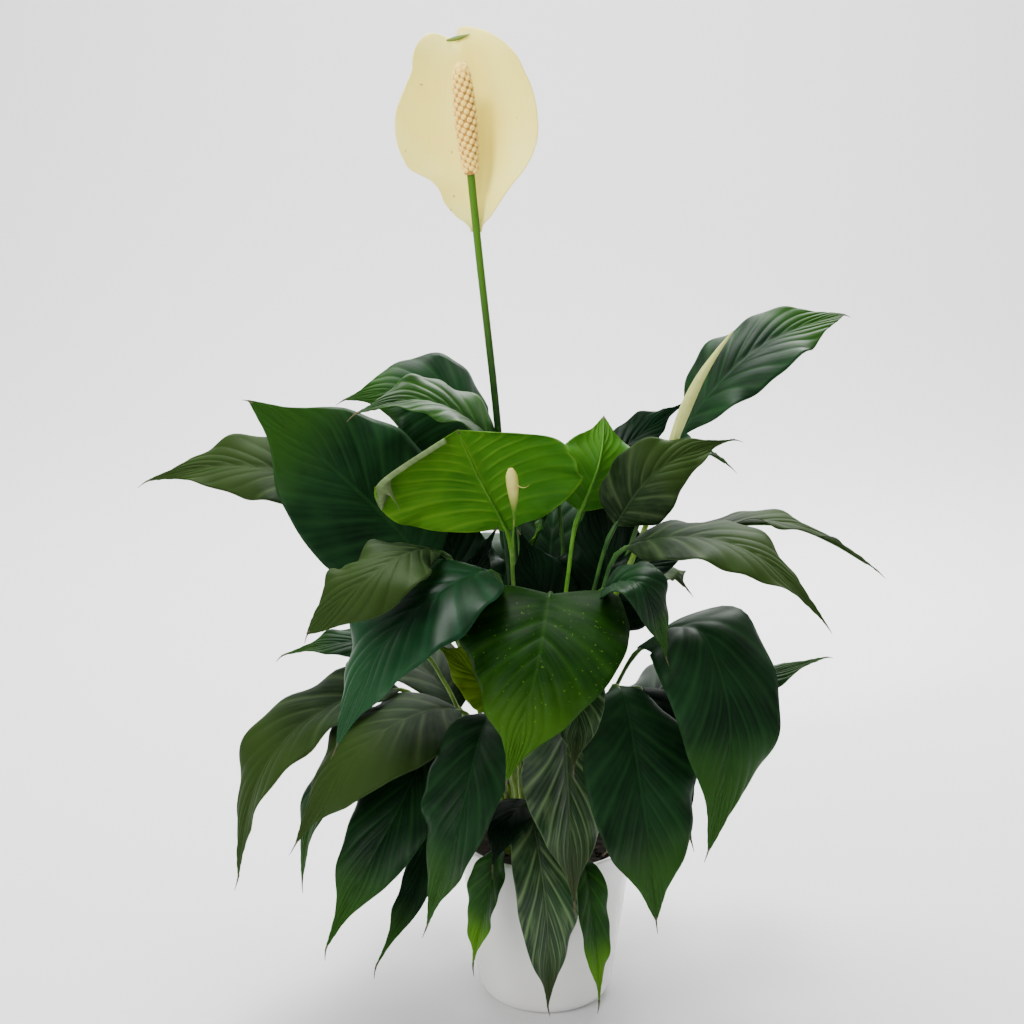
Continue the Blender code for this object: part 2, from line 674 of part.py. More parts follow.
LEAVES = [
    Leaf("left_far", seen(-150, 410, 55), seen(-235, 435, 70), seen(-305, 422, 75), 70, -30, fold=0.2),
    Leaf(
        "left_broad", seen(-90, 350, 15), seen(-160, 430, 0), seen(-225, 485, -5),
        122, -62, fold=0.12, curl=0.15, full=1.0,
    ),
    Leaf(
        "back_left_top", seen(-50, 455, 60), seen(-95, 490, 62), seen(-154, 485, 60),
        84, -62, fold=0.1, full=1.35,
    ),
    Leaf("left_light", seen(-38, 450, 25), seen(-92, 485, 12), seen(-146, 474, 5), 56, -30, fold=0.3),
    Leaf(
        "centre_bright", seen(-31, 383, 20), seen(-50, 422, 8), seen(-68, 462, -22),
        158, -2, fold=0.1, curl=0.3, full=0.42, base=0.85, skew=0.08, head=-100,
    ),
    Leaf("right_bright", seen(25, 399, 5), seen(39, 438, 0), seen(42, 473, 35), 64, full=1.0, head=-80),
    Leaf("back_right_low", seen(40, 430, 70), seen(74, 462, 80), seen(103, 483, 90), 38, 32, fold=0.3),
    Leaf(
        "right_top", seen(98, 457, 45), seen(158, 526, 70), seen(220, 550, 85),
        68, 28, fold=0.15, full=0.8, base=0.8,
    ),
    Leaf(
        "right_olive", seen(52, 388, -10), seen(82, 430, -20), seen(141, 455, 0),
        58, 46, fold=0.3, full=1.7,
    ),
    Leaf("right_hidden_tip", seen(78, 425, 60), seen(110, 448, 70), seen(138, 434, 80), 34, 22),
    Leaf("right_arch", seen(60, 370, -25), seen(145, 372, -60), seen(216, 308, -85), 80, 14, fold=0.2),
    Leaf("right_arch_back", seen(92, 372, 45), seen(183, 388, 60), seen(254, 351, 70), 56, -8, fold=0.3),
    Leaf("right_inner", seen(50, 327, 5), seen(75, 355, 5), seen(115, 368, 15), 34, 30),
    Leaf(
        "right_small_droop", seen(42, 336, -55), seen(70, 342, -85), seen(93, 279, -95),
        40, 20, fold=0.35,
    ),
    Leaf(
        "right_big_droop", seen(72, 288, -30), seen(138, 260, -95), seen(129, 117, -125),
        92, 14, rise=seen(112, 308, -60), fold=0.15, full=1.0, head=-50,
    ),
    Leaf("right_low_back", seen(82, 240, 60), seen(148, 260, 75), seen(218, 282, 80), 48, 25),
    Leaf(
        "right_low_front", seen(55, 258, -62), seen(76, 165, -112), seen(89, 57, -125),
        88, fold=0.3, full=0.95,
    ),
    Leaf("right_low_second", seen(73, 256, -25), seen(95, 192, -70), seen(116, 126, -85), 64, fold=0.3),
    Leaf(
        "front_heart", seen(2, 333, -95), seen(-8, 271, -140), seen(-32, 176, -160),
        122, -8, fold=0.1, full=1.3, base=0.38, lobe=0.7,
    ),
    Leaf("front_small_shiny", seen(18, 280, -70), seen(24, 235, -98), seen(21, 187, -108), 42, fold=0.35),
    Leaf("front_striped", seen(12, 252, -48), seen(18, 160, -82), seen(23, 70, -98), 80, fold=0.3),
    Leaf("front_bottom", seen(-12, 155, -66), seen(0, 74, -100), seen(2, -20, -104), 50, fold=0.3),
    Leaf("bottom_right", seen(28, 112, -66), seen(39, 50, -88), seen(44, -17, -88), 28, fold=0.4),
    Leaf("bottom_left", seen(-36, 122, -66), seen(-49, 68, -86), seen(-59, 17, -88), 32, fold=0.6),
    Leaf("pot_dark", seen(-14, 162, -50), seen(-33, 139, -70), seen(-43, 103, -82), 36),
    Leaf("left_low_front", seen(-43, 235, -62), seen(-68, 150, -112), seen(-96, 51, -130), 72, fold=0.3),
    Leaf(
        "left_low_wide", seen(-74, 219, -30), seen(-126, 137, -92), seen(-178, 32, -125),
        74, -10, fold=0.3,
    ),
    Leaf("left_low_narrow", seen(-76, 163, -20), seen(-106, 82, -70), seen(-138, 16, -95), 28, -25),
    Leaf(
        "left_mid_large", seen(-67, 237, -20), seen(-146, 207, -72), seen(-200, 123, -95),
        92, -14, fold=0.2,
    ),
    Leaf("left_curled", seen(-92, 229, 15), seen(-173, 174, -15), seen(-195, 92, -30), 50, full=0.8),
    Leaf("left_green_patch", seen(-114, 219, 25), seen(-142, 191, 15), seen(-148, 150, 5), 32),
    Leaf(
        "left_far_low", seen(-114, 255, -5), seen(-208, 212, -40), seen(-246, 94, -60),
        76, -15, fold=0.35, full=1.05,
    ),
    Leaf(
        "left_mid_grey", seen(-81, 366, -75), seen(-142, 343, -120), seen(-186, 300, -135),
        60, -24, fold=0.2, full=0.75, base=1.1,
    ),
    Leaf("left_mid_thin", seen(-99, 287, 25), seen(-152, 294, 5), seen(-206, 283, 0), 38, -20),
    Leaf(
        "left_front_blue", seen(-43, 351, -45), seen(-122, 298, -125), seen(-165, 206, -150),
        100, -10, fold=0.2, full=1.05,
    ),
    Leaf("left_yellow", seen(-33, 242, -72), seen(-61, 272, -80), seen(-86, 292, -85), 42, -60),
    Leaf("centre_dark_left", seen(-62, 322, 8), seen(-72, 365, 38), seen(-76, 408, 58), 76, head=100),
    Leaf("centre_curl", seen(-60, 318, 25), seen(-55, 355, 20), seen(-38, 386, 10), 22, head=100),
    Leaf("centre_dark_front", seen(7, 287, 15), seen(-5, 336, 15), seen(-22, 384, 30), 60, head=95),
    Leaf("centre_dark_right", seen(36, 296, 25), seen(45, 362, 25), seen(32, 422, 50), 84, head=80),
    Leaf("centre_bright_tip", seen(7, 416, 75), seen(-2, 396, 60), seen(-14, 365, 45), 30),
    Leaf("rear_tall", around(78, 45, 330), around(78, 100, 400), around(78, 165, 375), 88, fold=0.2),
    Leaf(
        "rear_left_high", around(118, 60, 290), around(118, 120, 345), around(118, 190, 300),
        92, fold=0.2,
    ),
    Leaf("rear_right_high", around(48, 62, 280), around(48, 125, 330), around(48, 195, 290), 86, fold=0.2),
    Leaf("rear_mid", around(95, 75, 225), around(95, 140, 262), around(95, 205, 190), 96),
    Leaf("rear_left_mid", around(140, 80, 220), around(140, 150, 250), around(140, 225, 170), 88),
    Leaf("rear_right_mid", around(30, 85, 215), around(30, 150, 245), around(30, 215, 165), 84),
    Leaf("rear_low_left", around(122, 60, 170), around(122, 120, 185), around(122, 180, 95), 80, fold=0.3),
    Leaf("rear_low_right", around(62, 62, 165), around(62, 125, 180), around(62, 185, 90), 80, fold=0.3),
    Leaf("rear_low_mid", around(90, 50, 150), around(90, 100, 150), around(90, 135, 55), 64, fold=0.3),
]

firm = [cachepot(), nursery_pot(), flower_stalk(), spathe(), spadix(), bud_small(), bud_tall(), dry_root()]
bpy.context.view_layer.update()
leaves = make_room(take_feet(LEAVES, FLOWER_FEET.values()), [felt_piece(made) for made in firm])
potting_soil([foot_of(slot) for slot in [*FLOWER_FEET.values(), *(leaf.slot for leaf in leaves)]])
for leaf in leaves:
    loft(leaf.name, leaf_rings(leaf), leaf_green)
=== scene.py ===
"""The looks of a potted peace lily: glazed pot, soil, veined leaves, an open flower and two buds."""

import math

import bmesh
import bpy
import numpy as np
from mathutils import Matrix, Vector, noise


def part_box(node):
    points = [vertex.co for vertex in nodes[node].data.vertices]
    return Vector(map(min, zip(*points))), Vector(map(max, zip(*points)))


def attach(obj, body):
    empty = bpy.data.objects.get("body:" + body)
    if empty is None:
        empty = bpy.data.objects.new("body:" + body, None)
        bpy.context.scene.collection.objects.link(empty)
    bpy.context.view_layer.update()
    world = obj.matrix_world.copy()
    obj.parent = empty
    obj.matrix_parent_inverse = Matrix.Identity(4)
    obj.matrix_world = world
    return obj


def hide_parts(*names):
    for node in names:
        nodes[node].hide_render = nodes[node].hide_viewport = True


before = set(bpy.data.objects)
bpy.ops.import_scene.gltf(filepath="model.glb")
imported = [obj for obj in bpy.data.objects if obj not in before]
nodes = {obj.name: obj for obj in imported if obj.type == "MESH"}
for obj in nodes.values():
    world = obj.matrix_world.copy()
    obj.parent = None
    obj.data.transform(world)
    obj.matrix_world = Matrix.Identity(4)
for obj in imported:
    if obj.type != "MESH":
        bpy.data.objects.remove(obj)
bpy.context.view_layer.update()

# --- Cachepot -------------------------------------------------------------------------------
# A thick-walled earthenware pot, thrown to a plain taper with a rolled rim and a rounded foot,
# and dipped in a slightly clouded white glaze.


class Knob:
    """A value, colour or place in a material: sums on it add Math nodes, and node() any other."""

    def __init__(self, tree, socket=None):
        self.tree = tree
        self.socket = socket

    def node(self, kind, settings=None, sockets=None, output=0):
        """A node of this kind: its settings first, then the values or links of its sockets."""
        made = self.tree.nodes.new(kind)
        for name, setting in (settings or {}).items():
            setattr(made, name, setting)
        for name, value in (sockets or {}).items():
            if isinstance(value, Knob):
                self.tree.links.new(value.socket, made.inputs[name])
            else:
                made.inputs[name].default_value = value
        return Knob(self.tree, made.outputs[output])

    def maths(self, operation, first, second=0.0):
        return self.node("ShaderNodeMath", {"operation": operation}, {0: first, 1: second})

    def __add__(self, other):
        return self.maths("ADD", self, other)

    def __radd__(self, other):
        return self.maths("ADD", other, self)

    def __sub__(self, other):
        return self.maths("SUBTRACT", self, other)

    def __rsub__(self, other):
        return self.maths("SUBTRACT", other, self)

    def __mul__(self, other):
        return self.maths("MULTIPLY", self, other)

    def __rmul__(self, other):
        return self.maths("MULTIPLY", other, self)

    def __pow__(self, other):
        return self.maths("POWER", self, other)

    def __rpow__(self, other):
        return self.maths("POWER", other, self)

    def __abs__(self):
        return self.maths("ABSOLUTE", self)

    def between(self, low, high):
        """0 below low, 1 above high, and smooth from one to the other."""
        sockets = {"Value": self, "From Min": low, "From Max": high}
        return self.node("ShaderNodeMapRange", {"interpolation_type": "SMOOTHSTEP"}, sockets)

    def mixed(self, first, second):
        """The first colour where this value is 0 and the second where it is 1."""
        first, second = (c if isinstance(c, Knob) else (*c, 1.0) for c in (first, second))
        return self.node("ShaderNodeMix", {"data_type": "RGBA"}, {0: self, 6: first, 7: second}, output=2)

    def speckle(self, scale, detail=2.0):
        """Noise over this place."""
        return self.node("ShaderNodeTexNoise", {}, {"Vector": self, "Scale": scale, "Detail": detail})

    def axis(self, number):
        """One coordinate of this place."""
        return self.node("ShaderNodeSeparateXYZ", {}, {0: self}, output=number)


def finish(name, roughness, constants=None):
    """A new material: a Knob to add nodes with, the place on the piece, the shader, and itself."""
    made = bpy.data.materials.new(name)
    made.use_nodes = True
    shader = made.node_tree.nodes["Principled BSDF"]
    shader.inputs["Roughness"].default_value = roughness
    for socket, value in (constants or {}).items():
        shader.inputs[socket].default_value = value
    knob = Knob(made.node_tree)
    place = knob.node("ShaderNodeTexCoord", output=3)  # in the piece's own metres
    return knob, place, shader, made


def bump(knob, shader, height, strength, distance):
    sockets = {"Height": height, "Strength": strength, "Distance": distance}
    raised = knob.node("ShaderNodeBump", {}, sockets)
    knob.tree.links.new(raised.socket, shader.inputs["Normal"])


def feed(knob, shader, socket, value):
    knob.tree.links.new(value.socket, shader.inputs[socket])


def coat(piece, material):
    piece.data.materials.clear()
    piece.data.materials.append(material)


def placed(piece, name, node):
    """Names a finished piece, hangs it on the root body, and hides the frame's part that it replaces."""
    piece.name = name
    piece.data.name = name
    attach(piece, "root")
    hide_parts(node)


def thrown(profile, segments):
    """A closed shape of revolution: a disc drawn up ring by ring along (radius, height) points."""
    bpy.ops.object.select_all(action="DESELECT")
    radius, height = profile[0]
    bpy.ops.mesh.primitive_circle_add(
        vertices=segments, radius=radius, fill_type="TRIFAN", location=(0, 0, height)
    )
    piece = bpy.context.object
    bpy.ops.object.transform_apply(location=True)
    bpy.ops.object.mode_set(mode="EDIT")
    bpy.ops.mesh.select_mode(type="EDGE")
    bpy.ops.mesh.select_all(action="SELECT")
    bpy.ops.mesh.region_to_loop()
    for new_radius, new_height in profile[1:]:
        bpy.ops.mesh.extrude_edges_move(TRANSFORM_OT_translate={"value": (0, 0, new_height - height)})
        grown = new_radius / radius
        bpy.ops.transform.resize(value=(grown, grown, 1), center_override=(0, 0, new_height))
        radius, height = new_radius, new_height
    bpy.ops.mesh.edge_face_add()
    bpy.ops.mesh.select_all(action="SELECT")
    bpy.ops.mesh.normals_make_consistent(inside=False)
    bpy.ops.object.mode_set(mode="OBJECT")
    return piece


def rounded(centre, radius, start, end, count):
    """Profile points round an arc, in degrees."""
    turns = np.radians(np.linspace(start, end, count))
    return [(centre[0] + radius * math.cos(a), centre[1] + radius * math.sin(a)) for a in turns]


RIM_RADIUS, RIM_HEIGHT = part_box("cachepot")[1].x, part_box("cachepot")[1].z
FOOT_TAPER = 0.052  # the wall's radius where it would meet the table
FOOT_ROUNDING = 0.014
WALL = 0.004
FLOOR, FLOOR_RADIUS = 0.006, 0.044
BASE = [(0.036, 0.0), (0.0394, 0.0002)]  # the flat underneath, hollowed a little towards the foot
ARC_POINTS = 12


def wall_at(height):
    return FOOT_TAPER + (RIM_RADIUS - FOOT_TAPER) * height / RIM_HEIGHT


foot_centre = (wall_at(FOOT_ROUNDING) - FOOT_ROUNDING, FOOT_ROUNDING)
rim_centre = (wall_at(RIM_HEIGHT) - WALL / 2, RIM_HEIGHT - WALL / 2)
foot = rounded(foot_centre, FOOT_ROUNDING, -88, 0, ARC_POINTS)
outside = [(wall_at(h), h) for h in (0.04, 0.07, 0.1, 0.125)]
rim = rounded(rim_centre, WALL / 2, 0, 180, ARC_POINTS)
inside = [(wall_at(h) - WALL, h) for h in (0.125, 0.09, 0.05, 0.02, 0.012)]
pot = thrown([*BASE, *foot, *outside, *rim, *inside, (FLOOR_RADIUS, FLOOR)], segments=128)
bpy.ops.object.shade_smooth()

knob, place, shader, glaze = finish("white_glaze", 0.2, {"Coat Weight": 0.4, "Coat Roughness": 0.08})
clouds = place.speckle(18.0)
pits = place.speckle(260.0, 1.0)
feed(knob, shader, "Base Color", clouds.between(0.35, 0.7).mixed((0.80, 0.79, 0.765), (0.86, 0.855, 0.84)))
feed(knob, shader, "Roughness", 0.16 + clouds * 0.12)
bump(knob, shader, clouds * 0.8 + pits * 0.2, 0.12, 0.0012)
coat(pot, glaze)
placed(pot, "glazed_cachepot", "cachepot")

# --- Nursery pot ----------------------------------------------------------------------------
# A thin pot of recycled black plastic, vacuum formed, with a flat rolled rim that shows as a
# dark ring inside the cachepot.

liner_low, liner_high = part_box("nursery_pot")
LINER_WALL = 0.0012
LINER_FLOOR_RADIUS = 0.043
LIP = [  # the rolled rim's outline, measured from its greatest radius and its top
    (-0.0022, -0.0026), (-0.0003, -0.0022), (0, -0.0011), (-0.0004, 0), (-0.003, 0), (-0.0036, -0.001)
]
under = [(0.02, liner_low.z), (LINER_FLOOR_RADIUS, liner_low.z)]
lip = [(liner_high.x + out, liner_high.z + up) for out, up in LIP]
liner = thrown([*under, *lip, (LINER_FLOOR_RADIUS - LINER_WALL, liner_low.z + LINER_WALL)], segments=96)
bpy.ops.object.shade_smooth_by_angle(angle=math.radians(50))
knob, place, shader, plastic = finish("black_plastic", 0.5)
scuffs = place.speckle(90.0, 3.0)
feed(knob, shader, "Base Color", scuffs.between(0.4, 0.75).mixed((0.010, 0.010, 0.011), (0.045, 0.043, 0.04)))
feed(knob, shader, "Roughness", 0.38 + scuffs * 0.3)
coat(liner, plastic)
placed(liner, "black_nursery_pot", "nursery_pot")

# --- Potting soil ---------------------------------------------------------------------------
# Peat-based compost, dark and crumbly, watered often enough to settle into clods, with crumbs
# of bark on top.

soil_low, soil_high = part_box("potting_soil")
SOIL_FLOOR_RADIUS = 0.0412
SOIL_RINGS = 46
SURFACE_DROP = 0.0012  # room for the clods under the frame's own surface
CLOD_HEIGHT = 0.0011
LUMP_HEIGHT = 0.0008
CRUMBS = 150
CRUMB_SIZES = (0.0006, 0.0017)
CRUMB_MARGIN = 0.003  # between the soil's edge and the outermost crumbs
soil_edge = soil_high.x
soil_top = soil_high.z - SURFACE_DROP
rings_out = [(soil_edge * share, soil_top) for share in np.linspace(0.985, 0.02, SOIL_RINGS)]
shoulder = (soil_edge - 0.0002, soil_top - 0.0012)
soil = thrown([(SOIL_FLOOR_RADIUS, soil_low.z), shoulder, *rings_out], segments=160)
for corner in soil.data.vertices:
    if corner.co.z > soil_top - 0.0006:
        spot = corner.co.xy.to_3d()
        clods = noise.fractal(spot * 160, 1.0, 2.0, 3)
        lumps = noise.noise(spot * 420)
        corner.co.z += CLOD_HEIGHT * clods + LUMP_HEIGHT * lumps
bpy.ops.object.shade_smooth()

chance = np.random.default_rng(7)
crumbs = []
for _ in range(CRUMBS):
    turn = chance.uniform(0, 2 * math.pi)
    reach = (soil_edge - CRUMB_MARGIN) * math.sqrt(chance.uniform(0.05, 1))
    size = chance.uniform(*CRUMB_SIZES)
    bpy.ops.object.select_all(action="DESELECT")
    bpy.ops.mesh.primitive_ico_sphere_add(subdivisions=1, radius=size)
    crumb = bpy.context.object
    squeeze = Vector(chance.uniform(0.6, 1.3, 3))
    centre = Vector((reach * math.cos(turn), reach * math.sin(turn), soil_top + size * 0.3))
    for corner in crumb.data.vertices:
        corner.co = corner.co * squeeze * chance.uniform(0.85, 1.15) + centre
    crumbs.append(crumb)


def joined(pieces):
    """These pieces as one object."""
    bpy.ops.object.select_all(action="DESELECT")
    for piece in pieces:
        piece.select_set(True)
    bpy.context.view_layer.objects.active = pieces[0]
    bpy.ops.object.join()
    return pieces[0]


soil = joined([soil, *crumbs])
knob, place, shader, compost = finish("dark_compost", 0.95)
grains = place.speckle(700.0, 4.0)
patches = place.speckle(120.0, 3.0)
earth = patches.between(0.35, 0.7).mixed((0.010, 0.007, 0.005), (0.035, 0.023, 0.015))
feed(knob, shader, "Base Color", (grains.between(0.6, 0.78) * 0.7).mixed(earth, (0.09, 0.065, 0.045)))
bump(knob, shader, grains, 0.6, 0.0008)
coat(soil, compost)
placed(soil, "compost", "potting_soil")

# --- Dry root -------------------------------------------------------------------------------
# A dead root, washed bare by watering, that lies across the compost. It is thin and pale, and
# waves a little along its length.

root_low, root_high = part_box("dry_root")


def threaded(path, radii, sides):
    """A round stem through these places, thicker and thinner along it, with closed ends."""
    millimetre = 0.001
    line = bpy.data.curves.new("stem", "CURVE")
    line.dimensions = "3D"
    line.bevel_depth = millimetre
    line.bevel_resolution = max(sides // 4 - 1, 0)
    line.use_fill_caps = True
    spline = line.splines.new("POLY")
    spline.points.add(len(path) - 1)
    for point, place, radius in zip(spline.points, path, radii):
        point.co = (*place, 1.0)
        point.radius = radius / millimetre
    stem = bpy.data.objects.new("stem", line)
    bpy.context.scene.collection.objects.link(stem)
    bpy.ops.object.select_all(action="DESELECT")
    stem.select_set(True)
    bpy.context.view_layer.objects.active = stem
    bpy.ops.object.convert(target="MESH")
    bpy.ops.object.shade_smooth()
    return bpy.context.object


def curve_through(stations, places, wanted):
    """Smooth values between places known at these stations, along the first axis."""
    stations = np.asarray(stations, float)
    places = np.asarray(places, float)
    gaps = np.diff(stations)[:, None]
    slopes = np.diff(places, axis=0) / gaps
    tangents = np.empty_like(places)
    tangents[1:-1] = (slopes[:-1] * gaps[1:] + slopes[1:] * gaps[:-1]) / (gaps[:-1] + gaps[1:])
    tangents[0] = 1.5 * slopes[0] - 0.5 * tangents[1]
    tangents[-1] = 1.5 * slopes[-1] - 0.5 * tangents[-2]
    wanted = np.clip(wanted, stations[0], stations[-1])
    first = np.clip(np.searchsorted(stations, wanted, side="right") - 1, 0, len(stations) - 2)
    gap = gaps[first]
    u = ((wanted - stations[first]) / gap[:, 0])[:, None]
    curve = (2 * u**3 - 3 * u**2 + 1) * places[first] + (u**3 - 2 * u**2 + u) * gap * tangents[first]
    return curve + (3 * u**2 - 2 * u**3) * places[first + 1] + (u**3 - u**2) * gap * tangents[first + 1]


ROOT_RADIUS = 0.0010
ROOT_SWAY = 0.0016
ROOT_REST = 0.0013  # its middle line above its lowest point
share = np.linspace(0, 1, 40)
root_path = np.column_stack(
    [
        np.interp(share, [0, 1], [root_low.x + 0.0008, root_high.x - 0.0008]) + ROOT_SWAY * np.sin(share * 9),
        np.interp(share, [0, 1], [root_low.y, root_high.y]),
        root_low.z + ROOT_REST + 0.0005 * np.sin(share * 17),
    ]
)
root_radii = ROOT_RADIUS * (0.5 + 0.5 * np.sin(np.pi * share)) + 0.00015 * np.sin(share * 60)
root = threaded(root_path, root_radii, sides=8)
knob, place, shader, dead = finish("dry_root_fibre", 0.85)
fibres = place.speckle(900.0, 3.0)
feed(knob, shader, "Base Color", fibres.between(0.35, 0.65).mixed((0.26, 0.19, 0.115), (0.50, 0.41, 0.29)))
bump(knob, shader, fibres, 0.5, 0.0004)
coat(root, dead)
placed(root, "dead_root", "dry_root")

# --- Leaves ---------------------------------------------------------------------------------
# Each leaf is a thin blade, quilted between curved side veins, on a long stalk that runs on as
# its midrib. The frame's leaves are rings of eight points, from the foot to the tip, and these
# blades follow them.

SECTION_SHARES = np.array([0.0, 0.04, 0.13, 0.27, 0.43, 0.60, 0.77, 0.91, 1.0])
STALK_RINGS = 5
RINGS = 13
FOOT_HEIGHT = 0.1156  # where every stalk ends in the soil
CROWN = Vector((-0.008, 0.0))  # the middle of the stalks' feet
CROWN_REACH = 0.045  # and how far from it a foot can be
SAME_PLACE = 0.00002  # corners closer than this are one
COLLAR_HALF, TIP_HALF = 0.0016, 0.0003  # half the blade's width at its two ends
ACROSS = np.array([1, 0.5, 0, -0.5, -1])[:, None]


def unit(vectors):
    return vectors / np.maximum(np.linalg.norm(vectors, axis=-1, keepdims=True), 1e-12)


def rings_of(node):
    """The sections of a leaf or a stem in the frame, foot first, each as its corners in order."""
    shape = bmesh.new()
    shape.from_mesh(nodes[node].data)
    bmesh.ops.remove_doubles(shape, verts=shape.verts, dist=SAME_PLACE)
    near_foot = [v for v in shape.verts if abs(v.co.z - FOOT_HEIGHT) < 0.0001]
    ring = {v for v in near_foot if (v.co.xy - CROWN).length < CROWN_REACH}
    seen = set()
    rings = []
    while ring:
        seen |= ring
        order = [min(ring, key=lambda v: tuple(v.co))]
        while len(order) < len(ring):
            beside = [edge.other_vert(order[-1]) for edge in order[-1].link_edges]
            left = [v for v in beside if v in ring and v not in order]
            if not left:
                break
            order.append(min(left, key=lambda v: (v.co - order[-1].co).length))
        rings.append([tuple(v.co) for v in order])
        ring = {edge.other_vert(v) for v in ring for edge in v.link_edges} - seen
    shape.free()
    return rings


def sections_of(node):
    """The leaf's stalk as centres, and its blade as places at five shares of its width."""
    rings = rings_of(node)
    stalk = np.array([np.mean(ring, axis=0) for ring in rings[:STALK_RINGS]])
    blade = []
    for ring in rings[STALK_RINGS : RINGS - 1]:
        points = np.array(ring)
        spans = [np.linalg.norm(points[k] - points[k + 4]) for k in range(4)]
        k = int(np.argmax(spans))
        across = [points[k]]
        for step in (1, 2, 3):
            across.append((points[(k + step) % 8] + points[(k - step) % 8]) / 2)
        across.append(points[(k + 4) % 8])
        if blade and (across[0] - across[4]) @ (blade[-1][0] - blade[-1][4]) < 0:
            across.reverse()
        blade.append(across)
    blade = np.array(blade)
    tip = np.mean(rings[RINGS - 1], axis=0)
    ahead = np.gradient(blade[:, 2], axis=0)
    left = blade[:, 0] - blade[:, 4]
    upward = np.cross(ahead, left)
    bulge = blade[:, 1] + blade[:, 3] - (blade[:, 0] + blade[:, 4]) / 2 - blade[:, 2]
    if (bulge * upward).sum() < 0:
        blade = blade[:, ::-1]
    start = stalk[-1] + COLLAR_HALF * unit(blade[0, 0] - blade[0, 4]) * ACROSS
    end = tip + TIP_HALF * unit(blade[-1, 0] - blade[-1, 4]) * ACROSS
    return stalk, np.concatenate([start[None], blade, end[None]])


def places_of(piece):
    """The places of a piece's corners, a row for each."""
    places = np.empty(len(piece.data.vertices) * 3)
    piece.data.vertices.foreach_get("co", places)
    return places.reshape(-1, 3)


def move_to(piece, places):
    piece.data.vertices.foreach_set("co", places.ravel())
    piece.data.update()


def flat_grid(columns, rows):
    """A grid to bend, with each corner's share across it, from -1 to 1, and along it, from 0 to 1."""
    bpy.ops.object.select_all(action="DESELECT")
    bpy.ops.mesh.primitive_grid_add(x_subdivisions=columns, y_subdivisions=rows, size=2)
    grid = bpy.context.object
    flat = places_of(grid)
    return grid, flat[:, 0], (flat[:, 1] + 1) / 2


def thicken(sheet, depth):
    """Gives the sheet that was just made a thickness, half of it to each side."""
    thickness = sheet.modifiers.new("thickness", "SOLIDIFY")
    thickness.thickness = depth
    thickness.offset = 0
    bpy.ops.object.modifier_apply(modifier="thickness")
    bpy.ops.object.shade_smooth()


def blade_places(sections, along, across):
    """Places on a smooth blade, for shares of its length and of its half-width."""
    flat = curve_through(SECTION_SHARES, sections.reshape(len(sections), -1), along)
    lines = flat.reshape(-1, 5, 3)
    side = np.where(across >= 0, 0, 4)
    rows = np.arange(len(along))
    edge, half, middle = lines[rows, side], lines[rows, (side + 2) // 2], lines[rows, 2]
    s = abs(across)[:, None]
    return middle * (1 - s) * (1 - 2 * s) + half * 4 * s * (1 - s) + edge * s * (2 * s - 1)


VEINS = 11  # side veins to each half of a blade
VEIN_SWEEP = 1.7  # how strongly a side vein runs forward on its way to the edge
ROWS, COLUMNS = 96, 24
GROOVE, GROOVE_SHARE = 0.0006, 0.035  # along the midrib: its depth, and its share of the half-width
DRAWN_FROM, DRAWN_OVER = 0.68, 0.22  # where a blade starts to draw in, and the share that takes
FADE_IN, FADE_OUT = 0.08, 0.12  # shares over which the relief starts and ends


def vein_share(row, across):
    """How far along the blade the side vein that leaves the midrib at this row has come."""
    return 1 - (1 - row) ** (1 + VEIN_SWEEP * abs(across))


def drawn_in(along, draw):
    """What is left of a blade's width where its outline draws in towards a long point."""
    nearing = np.clip((along - DRAWN_FROM) / DRAWN_OVER, 0, 1)
    return 1 - draw * nearing**2 * (3 - 2 * nearing)


def leaf_sheet(sections, quilt, ruffle, phase, draw):
    """One blade as a thin sheet: a grid whose rows run along the side veins."""
    sheet, across, row = flat_grid(COLUMNS, ROWS)
    along = vein_share(row, across)
    across = across * drawn_in(along, draw)
    place = blade_places(sections, along, across)
    step, side_step = 0.002, 0.02
    ahead = blade_places(sections, np.minimum(along + step, 1), across)
    forward = ahead - blade_places(sections, np.maximum(along - step, 0), across)
    sideways = blade_places(sections, along, np.clip(across + side_step, -1, 1))
    sideways = sideways - blade_places(sections, along, np.clip(across - side_step, -1, 1))
    upward = unit(np.cross(forward, sideways))
    s = abs(across)
    full = np.clip(np.minimum(along / FADE_IN, (1 - along) / FADE_OUT), 0, 1)
    pillow = np.sqrt(abs(np.sin(np.pi * VEINS * row))) - 0.5
    groove = -GROOVE * np.exp(-((s / GROOVE_SHARE) ** 2))
    # a long and a short wave along each edge, out of step between the two halves
    wave = np.sin(2 * np.pi * (2.3 * along + phase) + np.where(across > 0, 0, 2.1))
    wave = wave + 0.5 * np.sin(2 * np.pi * (5.1 * along + 2 * phase) + np.where(across > 0, 1.3, 0))
    lift = quilt * pillow * np.clip(s / FADE_IN, 0, 1) * np.clip((1.02 - s) / FADE_OUT, 0, 1) * full
    lift = lift + groove * full + ruffle * wave * s**3 * full
    move_to(sheet, place + lift[:, None] * upward)
    return sheet


BLADE_DEPTH = 0.0005
SPINE_POINTS, SPINE_END = 26, 0.94  # of the midrib under a blade
STALK_POINTS = 26
STALK_SHARES = [0, 0.12, 0.5, 0.85, 1]
STALK_RADII = [0.0028, 0.0025, 0.0019, COLLAR_HALF, COLLAR_HALF]
KNEE, KNEE_BELOW, KNEE_LENGTH = 0.0005, 0.009, 0.006  # the swelling just under a blade
DRIP = 0.009  # length of the thin point that a blade runs out into
DRIP_POINTS = 12
DRIP_INSIDE = 0.004  # how far back in the blade it starts
DRIP_DROOP, DRIP_SWAY = 0.4, 0.25  # shares of its length


